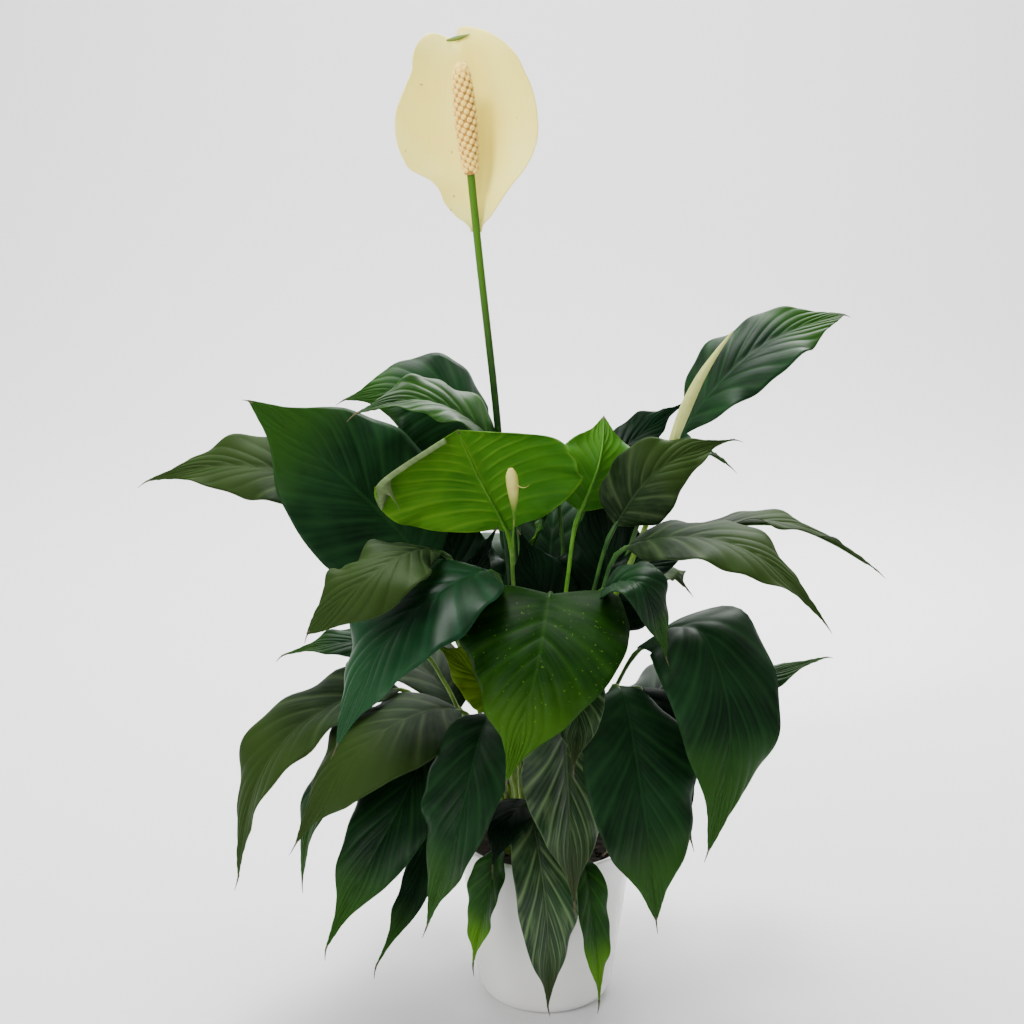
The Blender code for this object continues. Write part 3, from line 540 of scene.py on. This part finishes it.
def leaf_piece(node, quilt, ruffle, phase, draw):
    """A whole leaf: its sheet with a thickness, the stalk that runs on under it, and its point."""
    stalk, sections = sections_of(node)
    sheet = leaf_sheet(sections, quilt, ruffle, phase, draw)
    thicken(sheet, BLADE_DEPTH)
    length = np.linalg.norm(np.diff(stalk, axis=0), axis=1)
    stations = np.concatenate([[0], np.cumsum(length)])
    line = np.linspace(0, SPINE_END, SPINE_POINTS)
    spine = blade_places(sections, line, np.zeros(SPINE_POINTS))
    left, right = (blade_places(sections, line, np.full(SPINE_POINTS, side)) for side in (0.1, -0.1))
    under = unit(np.cross(left - right, np.gradient(spine, axis=0)))
    rib = np.interp(line, [0, 0.1, 0.5, SPINE_END], [COLLAR_HALF, 0.0012, 0.0008, TIP_HALF])
    spine = spine + under * ((rib + GROOVE) * np.clip(line / 0.05, 0, 1))[:, None]
    reach = np.linspace(0, stations[-1], STALK_POINTS)
    places = np.vstack([stalk, spine[2:4]])
    ahead = [stations[-1] + np.linalg.norm(point - stalk[-1]) for point in spine[2:4]]
    low = curve_through([*stations, *ahead], places, reach)
    share = reach / stations[-1]
    knee = KNEE * np.exp(-(((1 - share) * stations[-1] - KNEE_BELOW) / KNEE_LENGTH) ** 2)
    radii = np.interp(share, STALK_SHARES, STALK_RADII) + knee
    stem = threaded(np.vstack([low, spine[1:]]), np.concatenate([radii, rib[1:]]), sides=12)
    tip, before = sections[-1, 2], sections[-2, 2]
    run = np.linspace(0, 1, DRIP_POINTS)[:, None]
    heading = unit(tip - before)
    droop = np.array([0, 0, -DRIP_DROOP * DRIP])
    sway = np.array([np.sin(6.3 * phase), np.cos(6.3 * phase), 0.0]) * DRIP_SWAY * DRIP
    drip = tip - heading * DRIP_INSIDE + heading * run * DRIP + droop * run**2 + sway * run**2
    point = threaded(drip, np.interp(run[:, 0], [0, 0.35, 1], [0.0009, 0.0007, 0.0002]), sides=8)
    return sheet, stem, point


def let_light_through(knob, shader, colour, share):
    """Mixes a translucent share into a finish, for a leaf that shows the light behind it."""
    solid = Knob(knob.tree, shader.outputs[0])
    through = knob.node("ShaderNodeBsdfTranslucent", {}, {"Color": (*colour, 1.0)})
    lit = knob.node("ShaderNodeMixShader", {}, {0: share, 1: solid, 2: through})
    knob.tree.links.new(lit.socket, knob.tree.nodes["Material Output"].inputs["Surface"])


def leaf_finish(
    name, deep, light, vein, tip=None, tip_from=0.8, glow=0.0, gloss=0.42, shine=0.22, painted_sheen_stripes=0.4,
    dots=0.0, painted_shade_from=None
):
    """Leaf green: two greens that wander over the blade, paler veins, and a coloured tip. The pale
    lines and streaks along the side veins are partly the veins' own paler green and partly painted
    sheen, a highlight where light would catch the quilting; the argument for stripes sets their strength.

    The last argument is how far to the right a blade starts to turn to its deeper green, which is
    painted shade on that side.
    """
    knob, place, shader, made = finish(name, gloss, {"Specular IOR Level": shine})
    surface = knob.node("ShaderNodeUVMap", {"uv_map": "UVMap"})
    row = surface.axis(1)
    side = abs(surface.axis(0) * 2.0 - 1.0)
    patches = place.speckle(24.0, 3.0)
    fine = place.speckle(500.0, 2.0)
    wave = abs(knob.maths("SINE", row * (math.pi * VEINS)))
    # Painted sheen: the pale vein lines, the fine lines and the streaks along the rows stand for light caught
    # on the quilting, partly over the veins' own paler green.
    line = (1.0 - wave).between(0.55, 1.0) * side.between(0.02, 0.16) * (1.0 - row.between(0.8, 1.0))
    hair = abs(knob.maths("SINE", row * (math.pi * VEINS * 4))) * 0.14
    streaks = knob.node("ShaderNodeCombineXYZ", {}, {0: row * 30.0, 1: side * 2.5})
    satin_painted_sheen = streaks.speckle(1.0, 2.0).between(0.45, 0.75) * painted_sheen_stripes
    midrib = 1.0 - side.between(0.012, 0.035)
    body = patches.between(0.3, 0.72).mixed(deep, light)
    body = (satin_painted_sheen * 0.45 + hair).mixed(body, vein)
    body = (line * painted_sheen_stripes).mixed(body, vein)
    body = (midrib * 0.4).mixed(body, vein)
    if tip:
        along = 1.0 - (1.0 - row) ** (1.0 + side * VEIN_SWEEP)
        body = (along + patches * 0.12).between(tip_from, tip_from + 0.3).mixed(body, tip)
    if dots:
        freckles = place.speckle(420.0, 1.0).between(0.70, 0.76)
        body = (freckles * dots).mixed(body, (0.13, 0.24, 0.015))
    # Painted shade: the blade's right side turns to its deeper green, as if turned from the light.
    if painted_shade_from is not None:
        rightward = place.axis(0)
        body = (rightward.between(painted_shade_from, painted_shade_from + 0.05) * 0.6).mixed(body, deep)
    edge = side.between(0.965, 0.992)
    body = (edge * 0.4).mixed(body, vein)
    feed(knob, shader, "Base Color", body)
    feed(knob, shader, "Roughness", gloss - 0.05 + patches * 0.12 + wave * 0.03)
    bump(knob, shader, wave * 0.7 + fine * 0.3, 0.28, 0.0006)
    if glow:
        let_light_through(knob, shader, light, glow)
    return made


def stalk_finish(name, shaded, lit):
    """Leaf stalks: yellow-green near the soil and another green higher up, with soft streaks."""
    knob, place, shader, made = finish(name, 0.42, {"Specular IOR Level": 0.25})
    height = place.axis(2)
    streaks = place.speckle(60.0, 3.0)
    low = streaks.between(0.3, 0.7).mixed((0.13, 0.24, 0.02), (0.24, 0.36, 0.05))
    high = streaks.between(0.3, 0.7).mixed(shaded, lit)
    feed(knob, shader, "Base Color", height.between(0.14, 0.34).mixed(low, high))
    bump(knob, shader, streaks, 0.15, 0.0004)
    return made


def dry_finish():
    """The thin brown points that leaves dry back to."""
    knob, place, shader, made = finish("dry_leaf_point", 0.7)
    fibres = place.speckle(400.0, 2.0)
    dried = fibres.between(0.35, 0.65).mixed((0.030, 0.035, 0.012), (0.10, 0.07, 0.03))
    feed(knob, shader, "Base Color", dried)
    bump(knob, shader, fibres, 0.3, 0.0003)
    return made


STRIP_END = 0.985
STRIP_DEPTH = 0.0004
HANG_AT, HANG_WIDTH = 0.5, 0.09  # where along the strip its tip hangs, and how wide that is


def folded_strip(node, start, most):
    """The pale strip of a blade's edge that has folded over to the front, and its hanging tip.

    start is how far along the blade it begins, and most is its width where it is widest.
    """
    sections = sections_of(node)[1]
    middle = blade_places(sections, np.array([0.6, 0.6]), np.array([1.0, -1.0]))
    left = 1.0 if middle[0, 0] < middle[1, 0] else -1.0
    strip, across, run = flat_grid(14, 90)
    over = (across + 1) / 2
    along = start + (STRIP_END - start) * run
    rim = blade_places(sections, along, np.full(len(along), left))
    within = blade_places(sections, along, np.full(len(along), left * 0.8))
    inward = unit(within - rim)
    facing = unit(np.cross(inward, blade_places(sections, along + 0.01, np.full(len(along), left)) - rim))
    facing = facing * np.sign(-facing[:, 1:2])
    hang = np.exp(-(((run - HANG_AT) / HANG_WIDTH) ** 2))
    wide = most * np.sin(np.pi * run) ** 0.7 * (0.5 + 0.12 * np.sin(9 * run)) + 0.4 * most * hang
    raised = 0.0035 * np.sin(np.pi * over**0.6) + 0.0012 * over + 0.0025 * hang * over
    place = rim + inward * (wide * over)[:, None] + facing * raised[:, None]
    place[:, 2] -= most * hang * over**2
    move_to(strip, place)
    thicken(strip, STRIP_DEPTH)
    return strip


FINISHES = {
    "dark": leaf_finish(
        "dark_leaf", (0.0014, 0.0095, 0.0030), (0.0046, 0.027, 0.0070), (0.015, 0.058, 0.015),
        tip=(0.016, 0.060, 0.005), tip_from=0.62, shine=0.09,
    ),
    # Inner: the dark leaf green made darker still, painted shade for leaves deep inside the plant.
    "inner": leaf_finish(
        "shaded_leaf", (0.0006, 0.004, 0.0014), (0.0016, 0.010, 0.003), (0.004, 0.020, 0.006), shine=0.05
    ),
    # Olive: a dark green whose grey-olive veins and paler tip are painted sheen, the sky's light off an
    # arching leaf's top.
    "olive": leaf_finish(
        "olive_painted_sheen_leaf", (0.0024, 0.0095, 0.0020), (0.0058, 0.020, 0.0042), (0.045, 0.075, 0.026),
        tip=(0.022, 0.046, 0.008), tip_from=0.3, glow=0.03, gloss=0.52, shine=0.06, painted_sheen_stripes=0.62,
    ),
    "blue": leaf_finish(
        "blue_green_leaf", (0.0008, 0.010, 0.003), (0.003, 0.028, 0.007), (0.008, 0.060, 0.022),
        tip=(0.010, 0.055, 0.016), tip_from=0.5, gloss=0.4, shine=0.13,
    ),
    # Striped: pale stripes along the veins, painted sheen on the quilting.
    "striped": leaf_finish(
        "striped_painted_sheen_leaf", (0.0016, 0.014, 0.004), (0.006, 0.034, 0.008), (0.12, 0.20, 0.075),
        tip=(0.024, 0.040, 0.008), tip_from=0.7, gloss=0.38, shine=0.2, painted_sheen_stripes=0.75,
    ),
    "bright": leaf_finish(
        "bright_leaf", (0.020, 0.125, 0.004), (0.085, 0.26, 0.006), (0.20, 0.40, 0.03), glow=0.34,
        painted_sheen_stripes=0.5, shine=0.15, painted_shade_from=-0.05,
    ),
    "heart": leaf_finish(
        "heart_leaf", (0.0016, 0.015, 0.0012), (0.007, 0.038, 0.0016), (0.018, 0.070, 0.004),
        tip=(0.034, 0.098, 0.006), tip_from=0.52, glow=0.07, shine=0.05, dots=0.4,
    ),
    # Satin: a lighter green, whose satin sheen is painted as pale streaks, as on every leaf here.
    "satin_painted_sheen": leaf_finish(
        "satin_leaf", (0.002, 0.017, 0.0015), (0.009, 0.052, 0.0025), (0.045, 0.14, 0.012),
        glow=0.1, shine=0.2,
    ),
    "tipped": leaf_finish(
        "bright_tipped_leaf", (0.002, 0.020, 0.002), (0.008, 0.056, 0.003), (0.03, 0.12, 0.008),
        tip=(0.075, 0.21, 0.003), tip_from=0.55, glow=0.15, shine=0.15,
    ),
    "underside": leaf_finish(
        "pale_underside", (0.07, 0.12, 0.035), (0.15, 0.22, 0.08), (0.30, 0.38, 0.17),
        glow=0.15, gloss=0.5, shine=0.15, painted_sheen_stripes=0.3,
    ),
    "yellow": leaf_finish(
        "yellowing_leaf", (0.035, 0.10, 0.002), (0.09, 0.19, 0.003), (0.18, 0.28, 0.015),
        glow=0.25, shine=0.15,
    ),
}
WEAR = {
    "left_far": "olive", "left_broad": "dark", "back_left_top": "dark", "left_light": "satin_painted_sheen",
    "centre_bright": "bright", "right_bright": "bright", "back_right_low": "inner", "right_top": "dark",
    "right_olive": "olive", "right_hidden_tip": "dark", "right_arch": "olive", "right_arch_back": "olive",
    "right_inner": "inner", "right_small_droop": "dark", "right_big_droop": "dark",
    "right_low_back": "dark", "right_low_front": "dark", "right_low_second": "inner",
    "front_heart": "heart", "front_small_shiny": "striped", "front_striped": "striped",
    "front_bottom": "striped", "bottom_right": "tipped", "bottom_left": "tipped", "pot_dark": "inner",
    "left_low_front": "dark", "left_low_wide": "dark", "left_low_narrow": "dark",
    "left_mid_large": "olive", "left_curled": "dark", "left_green_patch": "tipped",
    "left_far_low": "olive", "left_mid_grey": "olive", "left_mid_thin": "dark",
    "left_front_blue": "blue", "left_yellow": "yellow", "centre_dark_left": "inner",
    "centre_curl": "inner", "centre_dark_front": "inner", "centre_dark_right": "inner",
    "centre_bright_tip": "tipped", "rear_tall": "dark", "rear_left_high": "dark",
    "rear_right_high": "olive", "rear_mid": "dark", "rear_left_mid": "olive", "rear_right_mid": "dark",
    "rear_low_left": "dark", "rear_low_right": "olive", "rear_low_mid": "dark",
}
stalk_green = stalk_finish("leaf_stalk_green", (0.010, 0.050, 0.006), (0.035, 0.11, 0.012))
stalk_bright = stalk_finish("bright_stalk_green", (0.05, 0.17, 0.008), (0.10, 0.27, 0.015))
dry_brown = dry_finish()
LARGE_LEAF = 0.25  # diagonal of the box of a leaf whose relief is as high as given here
chance = np.random.default_rng(11)
for node, wear in WEAR.items():
    low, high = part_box(node)
    size = min((high - low).length / LARGE_LEAF, 1.2)
    sheet, stem, point = leaf_piece(
        node,
        quilt=0.0008 * size * chance.uniform(0.85, 1.15),
        ruffle=0.0032 * size * chance.uniform(0.6, 1.3),
        phase=chance.uniform(0, 1),
        draw=0 if node == "centre_bright" else 0.4,
    )
    coat(sheet, FINISHES[wear])
    coat(stem, stalk_bright if wear == "bright" else stalk_green)
    coat(point, dry_brown)
    parts = [sheet, stem, point]
    if node == "centre_bright":
        strip = folded_strip(node, start=0.66, most=0.023)
        coat(strip, FINISHES["underside"])
        parts.append(strip)
    placed(joined(parts), "leaf_" + node, node)

# --- Flower stalk ---------------------------------------------------------------------------
# A round scape, smooth and solid, yellow-green under the flower and darker among the leaves, where
# that dark green is painted shade. It follows the frame's sections with a finer curve.


def smooth_stem(node, count):
    """A stem's line and its radii, drawn finer than the frame's sections."""
    rings = [np.array(ring) for ring in rings_of(node)]
    centres = np.array([ring.mean(axis=0) for ring in rings])
    radii = [np.linalg.norm(ring - centre, axis=1).mean() for ring, centre in zip(rings, centres)]
    reach = np.concatenate([[0], np.cumsum(np.linalg.norm(np.diff(centres, axis=0), axis=1))])
    fine = curve_through(reach, np.column_stack([centres, radii]), np.linspace(0, reach[-1], count))
    return fine[:, :3], np.maximum(fine[:, 3], 0.0002)


def stem_finish(name, low, high, start, end):
    """A stem's colours, from its foot to its top, with soft streaks."""
    knob, place, shader, made = finish(name, 0.42, {"Specular IOR Level": 0.25})
    height = place.axis(2)
    streaks = place.speckle(110.0, 3.0)
    body = height.between(start, end).mixed(low, high)
    shade = tuple(part * 0.65 for part in high)
    feed(knob, shader, "Base Color", (streaks.between(0.5, 0.75) * 0.5).mixed(body, shade))
    bump(knob, shader, streaks, 0.12, 0.0004)
    return made


scape_line, scape_radii = smooth_stem("flower_stalk", 140)
scape = threaded(scape_line, scape_radii, sides=24)
# Painted shade: the very dark green low down stands for the leaves' shadow on the stalk.
scape_green = stem_finish(
    "flower_stalk_green", (0.004, 0.026, 0.003), (0.045, 0.13, 0.0), start=0.46, end=0.62
)
coat(scape, scape_green)
placed(scape, "flower_stalk_round", "flower_stalk")

# --- Spathe ---------------------------------------------------------------------------------
# The flower's hood is one thick cream-coloured leaf. It clasps the stalk at its foot, cups
# round the spadix, and its green tip has folded back over a notch in the upper edge.

hood_low, hood_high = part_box("spathe")
hood_height = hood_high.z - hood_low.z
hood_foot = scape_line[np.argmin(abs(scape_line[:, 2] - hood_low.z))]
# Half-widths to the left and the right of the middle line, at these shares of the height
HOOD_MARKS = [0, 0.06, 0.14, 0.22, 0.265, 0.31, 0.37, 0.44, 0.58, 0.73, 0.8, 0.88, 0.95, 1]
HOOD_LEFT = np.array([3, 12, 21, 25, 31, 43, 48, 51, 50, 40, 35, 33, 29, 23]) * 0.001
HOOD_RIGHT = np.array([3, 10, 19, 28, 34, 40, 46, 51, 54, 51, 47, 42, 33, 21]) * 0.001
# How far the upper edge drops, as a share of the height, from the left side to the right
TOP_MARKS = [-1, -0.8, -0.6, -0.36, -0.15, -0.04, 0.06, 0.25, 0.6, 1]
TOP_DROP = [0.030, 0.022, 0.026, 0.044, 0.052, 0.042, 0, -0.010, -0.006, 0.010]
# The middle line, sideways and backwards in metres and upwards as a share of the height
HOOD_SPINE = np.array([(0, 0, 0), (-0.005, 0.012, 0.32), (-0.010, 0.016, 0.65), (-0.014, 0.006, 1)])
CLASP, CLASP_SHARE, CLASP_TURN = 0.0039, 0.07, 95  # radius, share of the height, and degrees round
CUP_DEPTH, CUP_SHARE, CUP_ROUND = 0.34, 0.2, 0.6
VALLEY, VALLEY_ACROSS, VALLEY_WIDTH = 0.0065, 0.28, 0.16
RIPPLE = 0.0012
HOOD_DEPTH = 0.0009
CURL_BACK, CURL_FROM = 0.010, 0.86

hood, across, rise = flat_grid(100, 130)
widths = curve_through(HOOD_MARKS, np.column_stack([HOOD_LEFT, HOOD_RIGHT]), rise)
width = np.where(across > 0, widths[:, 1], widths[:, 0]) * across
height = rise * (1 - np.interp(across, TOP_MARKS, TOP_DROP) * rise**7)
spine = curve_through(HOOD_SPINE[:, 2], HOOD_SPINE[:, :2], height)
opened = np.clip(rise / CLASP_SHARE, 0, 1)
turn = np.radians(CLASP_TURN) * across
valley = VALLEY * np.exp(-(((across - VALLEY_ACROSS) / VALLEY_WIDTH) ** 2)) * np.sin(np.pi * rise)
cup = CUP_DEPTH * abs(width) * abs(across) ** CUP_ROUND * np.clip(rise / CUP_SHARE, 0, 1)
ripple = RIPPLE * np.sin(9 * rise + 3 * across) * abs(across) ** 3
curl_back = CURL_BACK * np.clip((rise - CURL_FROM) / (1 - CURL_FROM), 0, 1) ** 2
sideways = opened * width + (1 - opened) * CLASP * np.sin(turn)
behind = CLASP * (1 - opened) * np.cos(turn) + opened * (CLASP - cup + valley + ripple + curl_back)
spot = np.column_stack(
    [
        hood_foot[0] + spine[:, 0] + sideways,
        hood_foot[1] + spine[:, 1] + behind,
        hood_low.z + hood_height * height,
    ]
)
move_to(hood, spot)
thicken(hood, HOOD_DEPTH)

TIP_RADIUS = 0.0016
tip_start = np.array([hood_foot[0] - 0.0215, hood_foot[1] + 0.0165, hood_high.z - 0.0085])
tip_run = np.linspace(0, 1, 24)
tip_line = tip_start + np.column_stack([0.017 * tip_run, -0.004 * tip_run, 0.0045 * tip_run**1.3])
tip_radii = TIP_RADIUS * np.sin(np.pi * (0.12 + 0.85 * tip_run)) ** 1.2 + 0.0002
folded_tip = threaded(tip_line, tip_radii, sides=12)

knob, place, shader, cream = finish("spathe_cream", 0.48, {"Sheen Weight": 0.15, "Sheen Roughness": 0.5})
surface = knob.node("ShaderNodeUVMap", {"uv_map": "UVMap"})
u = surface.axis(0)
v = surface.axis(1)
clouds = place.speckle(26.0, 3.0)
body = clouds.between(0.3, 0.7).mixed((0.96, 0.86, 0.20), (0.98, 0.93, 0.30))
# Painted shade: a deeper yellow low in the cup, right of the middle, where the hood shades itself.
inner = (1.0 - abs(u - 0.6).between(0.0, 0.26)) * v.between(0.1, 0.4) * 0.5
body = inner.mixed(body, (0.88, 0.72, 0.10))
veins = abs(knob.maths("SINE", u * 75.0)).between(0.88, 1.0) * 0.12
body = veins.mixed(body, (0.78, 0.70, 0.30))
body = ((1.0 - v.between(0.0, 0.16)) * 0.5).mixed(body, (0.55, 0.62, 0.28))
flecks = place.speckle(150.0, 1.0).between(0.765, 0.79)
body = flecks.mixed(body, (0.30, 0.20, 0.08))
feed(knob, shader, "Base Color", body)
bump(knob, shader, clouds * 0.5 + veins * -1.0, 0.25, 0.0012)
let_light_through(knob, shader, (0.98, 0.90, 0.24), 0.3)
coat(hood, cream)
coat(folded_tip, stem_finish("spathe_tip_green", (0.10, 0.15, 0.02), (0.14, 0.2, 0.03), start=0.7, end=0.8))
placed(joined([hood, folded_tip]), "spathe_hood", "spathe")

# --- Spadix ---------------------------------------------------------------------------------
# The spike of tiny flowers: a fleshy core set with round knobs in crossing spirals, pale on their
# tops and deeper yellow between, darkened to brown there as painted shade in the hollows.

spike_low, spike_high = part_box("spadix")
spike_foot = scape_line[-1]
SPIKE_RADIUS = 0.0084
TOP_ROUNDING = 0.012
TOP_INSET = 0.0095  # of the tip from the left and the front of the spike's box
KNOBS = 165
KNOB_RADIUS, KNOB_RAISE = 0.0022, 0.0016
GOLDEN = math.radians(137.508)  # each knob sits this far round from the last
spike_top = np.array([spike_low.x + TOP_INSET, spike_low.y + TOP_INSET, spike_high.z - 0.0012])
axis = spike_top - spike_foot
spike_length = float(np.linalg.norm(axis))
core = SPIKE_RADIUS - KNOB_RAISE
heights = np.linspace(0.0003, spike_length, 190)
full = 0.62 + 0.44 * np.sin(np.pi * (0.06 + 0.86 * heights / spike_length))
crown_share = np.clip((spike_length - heights) / TOP_ROUNDING, 0.0, 1)
reach_out = core * full * np.sqrt(np.clip(1 - (1 - crown_share) ** 2, 0.0004, 1))
spike = thrown([(0.0015, 0.0), *zip(reach_out, heights)], segments=120)
corners = places_of(spike)
spin = np.arctan2(corners[:, 1], corners[:, 0])
number = np.arange(KNOBS)
knob_spin = number * GOLDEN
knob_height = spike_length * (0.03 + 0.96 * (number + 0.5) / KNOBS)
around_gap = (spin[:, None] - knob_spin[None] + math.pi) % (2 * math.pi) - math.pi
ring_reach = np.hypot(corners[:, 0], corners[:, 1])[:, None]
along_gap = corners[:, 2][:, None] - knob_height[None]
distance = np.hypot(around_gap * np.maximum(ring_reach, 0.002), along_gap).min(1)
raise_by = KNOB_RAISE * np.sqrt(np.clip(1 - (distance / KNOB_RADIUS) ** 2, 0, 1))
over_top = np.maximum(corners[:, 2] - spike_length + core, 0)
outward = unit(np.column_stack([corners[:, 0], corners[:, 1], over_top]))
move_to(spike, corners + outward * raise_by[:, None])
tilt = Vector(axis).to_track_quat("Z", "Y").to_matrix().to_4x4()
tilt.translation = Vector(spike_foot)
spike.data.transform(tilt)
bpy.ops.object.shade_smooth()

raised = spike.data.attributes.new("knob", "FLOAT", "POINT")
raised.data.foreach_set("value", (raise_by / KNOB_RAISE).astype(np.float32))
knob, place, shader, pollen = finish("spadix_pollen_cream", 0.72, {"Sheen Weight": 0.3})
grain = place.speckle(900.0, 3.0)
top = knob.node("ShaderNodeAttribute", {"attribute_name": "knob"}, output=2)
# Painted shade: the hollows between the knobs go dark brown-gold, while the knobs' tops keep their pale
# yellow.
hollow_painted_shade = grain.between(0.3, 0.7).mixed((0.30, 0.13, 0.004), (0.46, 0.22, 0.010))
crest = grain.between(0.3, 0.7).mixed((0.92, 0.55, 0.06), (0.96, 0.68, 0.11))
feed(knob, shader, "Base Color", top.between(0.05, 0.6).mixed(hollow_painted_shade, crest))
bump(knob, shader, grain, 0.3, 0.0004)
coat(spike, pollen)
placed(spike, "knobbly_spadix", "spadix")

# --- Small bud ------------------------------------------------------------------------------
# A club-shaped bud, pale where the spathe is still shut, on a thin green stalk, with one fine
# dry thread hanging from its side.

club_line, club_radii = smooth_stem("bud_small", 130)
club = threaded(club_line, club_radii, sides=24)
thread_start = club_line[-1] + np.array([0.003, -0.003, -0.010])
run = np.linspace(0, 1, 20)
thread_line = thread_start + np.column_stack([0.011 * run, 0 * run, -0.0035 * np.sin(np.pi * run * 0.9)])
thread = threaded(thread_line, 0.0004 * (1.1 - run), sides=8)
club = joined([club, thread])
club_top = club_line[-1][2]
club_finish = stem_finish(
    "small_bud_cream", (0.06, 0.17, 0.008), (0.62, 0.58, 0.14), start=club_top - 0.036, end=club_top - 0.012
)
coat(club, club_finish)
placed(club, "small_bud", "bud_small")

# --- Tall bud -------------------------------------------------------------------------------
# A flower still rolled up in its spathe, whose free edge winds round it as a thin ridge. It is
# green at the neck and paler towards its point.

roll_line, roll_radii = smooth_stem("bud_tall", 150)
rolled = threaded(roll_line, roll_radii, sides=28)
NECK_STEP = 100  # the step of its line where the stalk ends and the bud starts
RIDGE_STEPS = range(104, 147)
RIDGE_START, RIDGE_TURN = -2.2, 2.4  # in radians round the bud
RIDGE_RADIUS = 0.0006
RIDGE_SUNK = 0.93  # its middle's share of the bud's radius
ridge = []
ahead = unit(np.gradient(roll_line, axis=0))
for step in RIDGE_STEPS:
    side = unit(np.cross(ahead[step], (0.0, 1.0, 0.0)))
    front = np.cross(side, ahead[step])
    turn = RIDGE_TURN * (step - RIDGE_STEPS[0]) / len(RIDGE_STEPS) + RIDGE_START
    outward = side * math.cos(turn) + front * math.sin(turn)
    ridge.append(roll_line[step] + roll_radii[step] * RIDGE_SUNK * outward)
ridge_radii = RIDGE_RADIUS * np.sin(np.pi * (0.08 + 0.86 * np.linspace(0, 1, len(ridge))))
rolled = joined([rolled, threaded(np.array(ridge), ridge_radii, sides=8)])
neck = roll_line[NECK_STEP][2]
rolled_finish = stem_finish(
    "tall_bud_cream", (0.10, 0.22, 0.012), (0.47, 0.52, 0.15), start=neck - 0.015, end=neck + 0.06
)
coat(rolled, rolled_finish)
placed(rolled, "tall_bud", "bud_tall")

# --- Floor, light and camera ----------------------------------------------------------------
# A pale paper sweep, lit softly from above and behind, with a weak fill from the front, a spot
# on the flower and a lamp on the backdrop.

SWEEP_HALF_WIDTH = 5
SWEEP_LENGTH = 8.0  # over the floor, round the bend and up
SWEEP_FLAT, SWEEP_BEND = 1.8, 1.0  # half the floor's depth, and the radius of the bend
floor, across, share = flat_grid(2, 60)
floor.name = "studio_floor"
along = share * SWEEP_LENGTH
bend = math.pi / 2 * SWEEP_BEND
turn = np.clip((along - 2 * SWEEP_FLAT) / bend, 0, 1) * math.pi / 2
behind = np.minimum(along, 2 * SWEEP_FLAT) - SWEEP_FLAT + SWEEP_BEND * np.sin(turn)
up = SWEEP_BEND * (1 - np.cos(turn)) + np.maximum(along - 2 * SWEEP_FLAT - bend, 0)
move_to(floor, np.column_stack([across * SWEEP_HALF_WIDTH, behind, up]))
bpy.ops.object.shade_smooth()
knob, place, shader, paper = finish("pale_paper", 0.9, {"Specular IOR Level": 0.1})
fleck = place.speckle(3.0)
feed(knob, shader, "Base Color", fleck.mixed((0.88, 0.88, 0.88), (0.90, 0.90, 0.90)))
coat(floor, paper)


def soft_light(name, place, target, size, power, kind="AREA"):
    light = bpy.data.lights.new(name, kind)
    light.energy = power
    if kind == "AREA":
        light.shape = "DISK"
        light.size = size
    else:
        light.shadow_soft_size = size
    lamp = bpy.data.objects.new(name, light)
    lamp.location = place
    lamp.rotation_euler = (Vector(target) - Vector(place)).to_track_quat("-Z", "Y").to_euler()
    bpy.context.scene.collection.objects.link(lamp)
    return light


middle = (0.0, 0.0, 0.35)
bloom = (-0.06, 0.05, 0.68)
soft_light("overhead", (-0.3, 0.25, 1.9), middle, size=0.8, power=34)
soft_light("back_light", (0.5, 1.3, 1.5), middle, size=0.8, power=30)
spot = soft_light("flower_light", (-0.5, -1.0, 1.5), bloom, size=0.2, power=260, kind="SPOT")
spot.spot_size = math.radians(13)
spot.spot_blend = 0.7
soft_light("front_fill", (-1.1, -1.5, 1.1), middle, size=1.2, power=21)
soft_light("backdrop_light", (0.0, 1.5, 2.6), (0.0, 2.8, 0.7), size=1.6, power=110)

world = bpy.context.scene.world or bpy.data.worlds.new("studio")
bpy.context.scene.world = world
world.use_nodes = True
world.node_tree.nodes["Background"].inputs["Color"].default_value = (1.0, 1.0, 1.0, 1.0)
world.node_tree.nodes["Background"].inputs["Strength"].default_value = 0.55

lens = bpy.data.cameras.new("camera")
lens.sensor_width = 36
lens.lens = 71.75
camera = bpy.data.objects.new("camera", lens)
camera.location = (-0.027, -1.5, 0.8)
camera.rotation_euler = (math.radians(75), 0, 0)  # looking 15 degrees down
bpy.context.scene.collection.objects.link(camera)
bpy.context.scene.camera = camera
